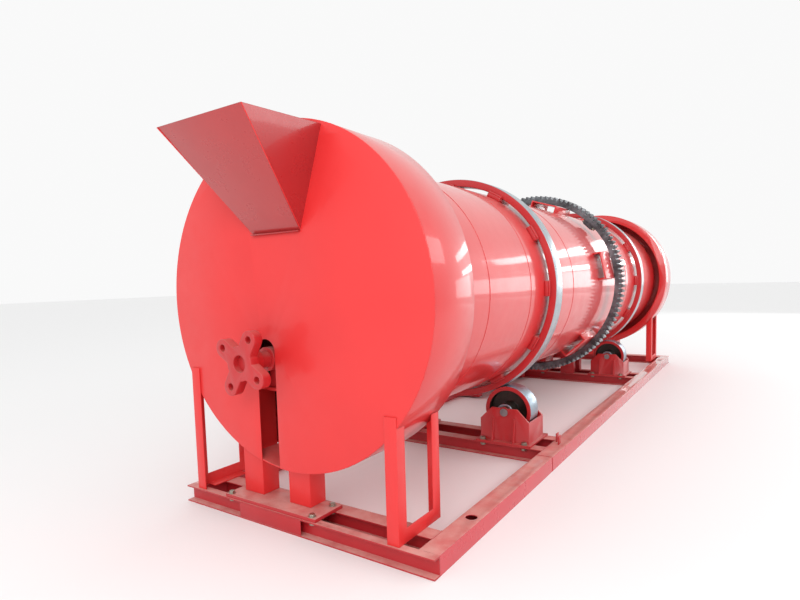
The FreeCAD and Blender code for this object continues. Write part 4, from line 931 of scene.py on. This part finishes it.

# %% Hopper and chute
# The hopper takes the darker red, which is painted shade.
softened("feed_hopper", 1.5 * MM, hopper_enamel_with_painted_shade)
softened("feed_chute", 1.5 * MM, plate_steel)
softened("feed_hood_legs", 3 * MM, hood_enamel)
hopper_low, hopper_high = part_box("feed_hopper")
hopper_mid = (hopper_low.x + hopper_high.x) / 2
HOPPER_FOOT, HOPPER_MOUTH = 174 * MM, 300 * MM
HOPPER_BACK = (hopper_high.x - hopper_low.x) / 2
hopper_paths = []
for way in (-1, 1):
    foot = (hopper_mid + way * HOPPER_FOOT, hood_front - 1 * MM,
            hopper_low.z + 8 * MM)
    lip = (hopper_mid + way * HOPPER_MOUTH, hopper_low.y + 1 * MM,
           hopper_high.z - 1 * MM)
    back = (hopper_mid + way * HOPPER_BACK, hood_front - 1 * MM,
            hopper_high.z - 1 * MM)
    hopper_paths += [([foot, lip], False), ([foot, back], False)]
weld("hopper_seams", hopper_paths, "frame", hood_enamel,
     radius=2.6 * MM, pitch=8 * MM)
print("feed end eased")

# %% [markdown]
# The pedestal under the breaker shaft stands on a base plate across the two
# end beams. Its posts are hollow sections with rounded corners.

# %% Pedestal, coupling flange and bearings
softened("pedestal_posts", 5 * MM, hood_enamel, segments=3)
softened("pedestal_cap_plate", 2 * MM, hood_enamel)
softened("pedestal_base_plate", 2.5 * MM, frame_enamel)
softened("rear_bearing_pedestal", 3 * MM, frame_enamel)
softened("breaker_coupling_flange", 3 * MM, casting_enamel)
softened("breaker_bearings", 3 * MM, casting_enamel)
refinish(casting_enamel, "breaker_shaft")
refinish(plate_steel, "beater_arms")
print("breaker end eased")

# %% [markdown]
# The skid is made of rolled sections, so the outer corners are round and the
# webs are dusty. The side beams have the largest corners.

# %% Skid frame
for node in ("side_beam_right", "side_beam_left"):
    softened(node, 7 * MM, beam_enamel, segments=3)
for node, width in (("end_channels", 3), ("station_cross_beams", 3),
                    ("pedestal_cross_beams", 3), ("frame_plates", 1.5),
                    ("drive_deck", 2), ("drive_plinths", 2),
                    ("pinion_pedestals", 2), ("thrust_pedestals", 2)):
    softened(node, width * MM, frame_enamel)
beam_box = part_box("side_beam_right")
print("beam height", round(beam_box[1].z - beam_box[0].z, 3))

# %% Frame bolts
base_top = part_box("pedestal_base_plate")[1].z
bracket_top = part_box("roller_bracket_front_right")[0].z + BRACKET_BASE
BEAM_FLANGE = 8 * MM
flange_under = beam_box[1].z - BEAM_FLANGE
bolt_spots = []
for low, high in islands("frame_bolts"):
    mid = (low + high) / 2
    at_pedestal = mid.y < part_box("pedestal_base_plate")[1].y
    seat, shank = ((base_top, 10 * MM) if at_pedestal
                   else (bracket_top, 12 * MM))
    bolt_spots.append(((mid.x, mid.y, seat), (0, 0, 1), shank))
    bolt_spots.append(((mid.x, mid.y, flange_under), (0, 0, -1), shank))
scattered("frame_bolts_and_nuts", bolt_spots, bolt, zinc, "frame",
          ["frame_bolts"])

# %% Welds of the skid
ends = []
for node in ("station_cross_beams", "pedestal_cross_beams"):
    for low, high in islands(node):
        if high.x - low.x < 0.3:
            continue
        for x in (low.x, high.x):
            mid_y = (low.y + high.y) / 2
            ends.append(([(x, low.y, high.z), (x, high.y, high.z)], False))
            for way in (-1, 1):
                ends.append(([(x, mid_y + way * 4 * MM, low.z + 9 * MM),
                              (x, mid_y + way * 4 * MM, high.z - 9 * MM)],
                             False))
BUTT_JOINT = -1.86
low, high = beam_box
ends.append(([(low.x + 3 * MM, BUTT_JOINT, high.z),
              (high.x - 1 * MM, BUTT_JOINT, high.z),
              (high.x, BUTT_JOINT, high.z - 3 * MM),
              (high.x, BUTT_JOINT, low.z + 3 * MM)], False))
weld("skid_welds", ends, "frame", frame_enamel,
     radius=3.5 * MM, pitch=9 * MM)

# %% [markdown]
# The discharge hood at the far end is rolled like the feed hood. Its gas
# outlet is a short pipe with a drilled flange.

# %% Discharge hood
softened("discharge_hood_rim", 2 * MM, shell_enamel, limit=50)
softened("discharge_back_plate", 1.2 * MM, hood_enamel, limit=50)
softened("gas_outlet", 1.5 * MM, hood_enamel, limit=50)
softened("discharge_chute", 1.5 * MM, hood_enamel)
softened("discharge_hood_legs", 3 * MM, hood_enamel)
print("discharge end eased")

# %% Drive
softened("reducer_casing", 6 * MM, drive_enamel, segments=3)
softened("motor_frame", 2 * MM, drive_enamel)
softened("motor_fan_cover", 5 * MM, drive_enamel, segments=3)
softened("pinion_bearings", 4 * MM, casting_enamel, segments=3)
softened("pinion_coupling", 2 * MM, rubber)
softened("motor_coupling", 2 * MM, rubber)
refinish(shaft_steel, "pinion_shaft", "motor_shaft", "thrust_pins")
refinish(roller_steel, "thrust_roller_near", "thrust_roller_far")
print("drive eased")

# %% [markdown]
# The motor is the usual finned kind: cast ribs run along the barrel, and a
# pressed cover with a round grille hides the fan. Ribs repeat round a circle,
# so they use the same tree as the bolts, with no turn at random.

# %% Motor ribs and grille
motor_low, motor_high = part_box("motor_fan_cover")
motor_mid = (motor_low + motor_high) / 2
BARREL = 130 * MM
barrel_start = span("motor_frame")[0]


def rib_mesh(width, length, height):
    """A tapered cast rib standing on z 0, along Y."""
    build = bmesh.new()
    corners = [(-width, 0), (width, 0), (width * 0.6, height),
               (-width * 0.6, height)]
    rows = [[build.verts.new((x, y, z)) for x, z in corners]
            for y in (-length / 2, length / 2)]
    for i in range(4):
        build.faces.new((rows[0][i], rows[0][(i + 1) % 4],
                         rows[1][(i + 1) % 4], rows[1][i]))
    build.faces.new(rows[0])
    build.faces.new(rows[1])
    return mesh_of(build, "rib")


rib = bpy.data.objects.new("rib_pattern", rib_mesh(2.5 * MM, 0.25, 15 * MM))
RIBS = 40
FOOT_BELOW = -0.75      # no ribs where the barrel meets its foot
BOX_ABOVE = 0.8         # nor under the terminal box
rib_spots = []
for i in range(RIBS):
    turn = 2 * math.pi * i / RIBS
    out = Vector((math.cos(turn), 0, math.sin(turn)))
    if out.z < FOOT_BELOW or out.z > BOX_ABOVE:
        continue
    rib_spots.append((Vector((motor_mid.x, barrel_start + 0.17, motor_mid.z))
                      + out * (BARREL - 1 * MM), tuple(out), 1.0))
scattered("motor_ribs", rib_spots, rib, drive_enamel, "frame",
          turn=0.0)
build = bmesh.new()
grille_y = motor_high.y - 1 * MM
for radius in (24, 42, 60, 78, 96):
    wire = [(radius * MM + 2 * MM * math.cos(math.pi * k / 3),
             grille_y + 2 * MM * math.sin(math.pi * k / 3)) for k in range(6)]
    loop = turned("wire", wire, 64, (motor_mid.x, motor_mid.z))
    build.from_mesh(loop)
piece("motor_grille", mesh_of(build, "motor_grille"), drive_enamel, "frame")

# %% Reducer and bearing bolts
case_low, case_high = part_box("reducer_casing")
case_spots = []
for i in range(6):
    x = case_low.x + 30 * MM + (case_high.x - case_low.x - 60 * MM) * i / 5
    for y in (case_low.y + 60 * MM, case_high.y - 60 * MM):
        case_spots.append(((x, y, case_high.z - 0.5 * MM), (0, 0, 1), 6 * MM))
scattered("reducer_cover_bolts", case_spots, bolt, zinc, "frame")
block_spots = []
for low, high in islands("pinion_bearings"):
    for x in (low.x + 26 * MM, high.x - 26 * MM):
        block_spots.append(((x, (low.y + high.y) / 2, low.z + 28 * MM),
                            (0, 0, 1), 8 * MM))
scattered("bearing_block_bolts", block_spots, bolt, zinc, "frame")

# %% [markdown]
# People stand on the drive deck, so its plate is the chequered kind: raised
# lens-shaped tears in two directions, 34 mm apart. Two scatters of one tear,
# each facing up but turned a quarter from the other, cover it.

# %% Chequered deck plate
def tear_mesh(turned_by):
    """One raised lens of chequer plate, 26 mm long."""
    build = bmesh.new()
    rim, top = [], []
    for i in range(10):
        angle = 2 * math.pi * i / 10
        x, y = 13 * MM * math.cos(angle), 4 * MM * math.sin(angle)
        c, s = math.cos(turned_by), math.sin(turned_by)
        rim.append(build.verts.new((x * c - y * s, x * s + y * c, 0)))
        top.append(build.verts.new((0.6 * (x * c - y * s),
                                    0.6 * (x * s + y * c), 1.8 * MM)))
    for i in range(10):
        build.faces.new((rim[i], rim[(i + 1) % 10], top[(i + 1) % 10], top[i]))
    build.faces.new(top)
    build.faces.new(rim[::-1])
    return mesh_of(build, "tear")


deck_low, deck_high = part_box("drive_deck")
blocks = [box for name in ("drive_plinths", "pinion_pedestals")
          for box in islands(name)]
TEAR_PITCH = 34 * MM
TEAR_ROOM = 20 * MM
for number, lean in enumerate((0.785, -0.785)):
    tears = []
    rows = int((deck_high.y - deck_low.y) / TEAR_PITCH) - 1
    columns = int((deck_high.x - deck_low.x) / TEAR_PITCH) - 1
    for row in range(rows):
        for column in range(columns):
            if (row + column) % 2 != number:
                continue
            x = deck_low.x + (column + 1) * TEAR_PITCH
            y = deck_low.y + (row + 1) * TEAR_PITCH
            if not any(low.x - TEAR_ROOM < x < high.x + TEAR_ROOM
                       and low.y - TEAR_ROOM < y < high.y + TEAR_ROOM
                       for low, high in blocks):
                tears.append(((x, y, deck_high.z - 0.2 * MM), (0, 0, 1), 1.0))
    pattern = bpy.data.objects.new(f"tear_pattern_{number}", tear_mesh(lean))
    scattered(f"chequer_tears_{number}", tears, pattern, frame_enamel,
              "frame", turn=0.0)

# %% [markdown]
# The camera stands at the feed end, to the right of the machine and at the
# height of its axis, with a moderately wide lens.

# %% Camera
EYE = Vector((2.1077, -5.5102, 1.3595))
LOOK = Vector((-0.5606, 0.8238, -0.0837)).normalized()
ROLL = -0.0282
level = LOOK.cross(Vector((0, 0, 1))).normalized()
above = level.cross(LOOK)
right = level * math.cos(ROLL) + above * math.sin(ROLL)
up = above * math.cos(ROLL) - level * math.sin(ROLL)
lens = bpy.data.cameras.new("camera")
lens.lens, lens.sensor_width = 24.65, 36.0
lens.shift_x, lens.shift_y = 0.0048, 0.0313
camera = bpy.data.objects.new("camera", lens)
camera.matrix_world = Matrix.Translation(EYE) @ Matrix(
    (right, up, -LOOK)).transposed().to_4x4()
bpy.context.scene.collection.objects.link(camera)
bpy.context.scene.camera = camera
print("camera at", [round(v, 2) for v in EYE])

# %% [markdown]
# A bright studio: a nearly white room, a pale floor and large soft lamps.
# Three long lamps beyond the far end lie in the shell as bright bands. The
# view transform is Standard, so that the paint keeps its strong red.

# %% Floor, room and lamps
bpy.context.scene.view_settings.view_transform = "Standard"
floor_mesh = bpy.data.meshes.new("floor")
FLOOR = 60.0
floor_mesh.from_pydata([(-FLOOR, -FLOOR, 0), (FLOOR, -FLOOR, 0),
                        (FLOOR, FLOOR, 0), (-FLOOR, FLOOR, 0)], [],
                       [(0, 1, 2, 3)])
floor = bpy.data.objects.new("floor", floor_mesh)
pale = bpy.data.materials.new("pale_studio_floor")
pale.use_nodes = True
for name, value in (("Base Color", linear("#f4f4f4")), ("Roughness", 0.9),
                    ("Specular IOR Level", 0.1)):
    pale.node_tree.nodes["Principled BSDF"].inputs[name].default_value = value
floor_mesh.materials.append(pale)
bpy.context.scene.collection.objects.link(floor)

room = bpy.data.worlds.new("room")
room.use_nodes = True
sky = room.node_tree.nodes["Background"].inputs
sky["Color"].default_value = (0.95, 0.95, 0.95, 1)
sky["Strength"].default_value = 1.0
bpy.context.scene.world = room


def lamp(name, at, toward, size, power):
    """A large soft lamp that the camera doesn't see."""
    light = bpy.data.lights.new(name, "AREA")
    light.shape = "RECTANGLE"
    light.size, light.size_y = size
    light.energy = power
    made = bpy.data.objects.new(name, light)
    made.location = at
    made.rotation_mode = "QUATERNION"
    made.rotation_quaternion = (Vector(toward) - Vector(at)).to_track_quat(
        "-Z", "Y")
    made.visible_camera = False
    bpy.context.scene.collection.objects.link(made)
    return made


lamp("key", (3, -9, 4.5), (0, -3.4, 1.3), (4, 4), 210)
lamp("side", (7, 1, 4.5), (0, 0, 1), (8, 2), 130)
lamp("far_low", (3.4, 14, 3.1), (0.5, 0, 1.5), (5, 0.5), 60)
lamp("far_high", (4.0, 14, 4.9), (0.5, 0, 1.5), (6, 0.8), 70)
lamp("far_band", (6.2, 13.5, 1.7), (0.8, -1.0, 1.4), (6, 2.0), 85)
print("lamps:", len(bpy.data.lights))
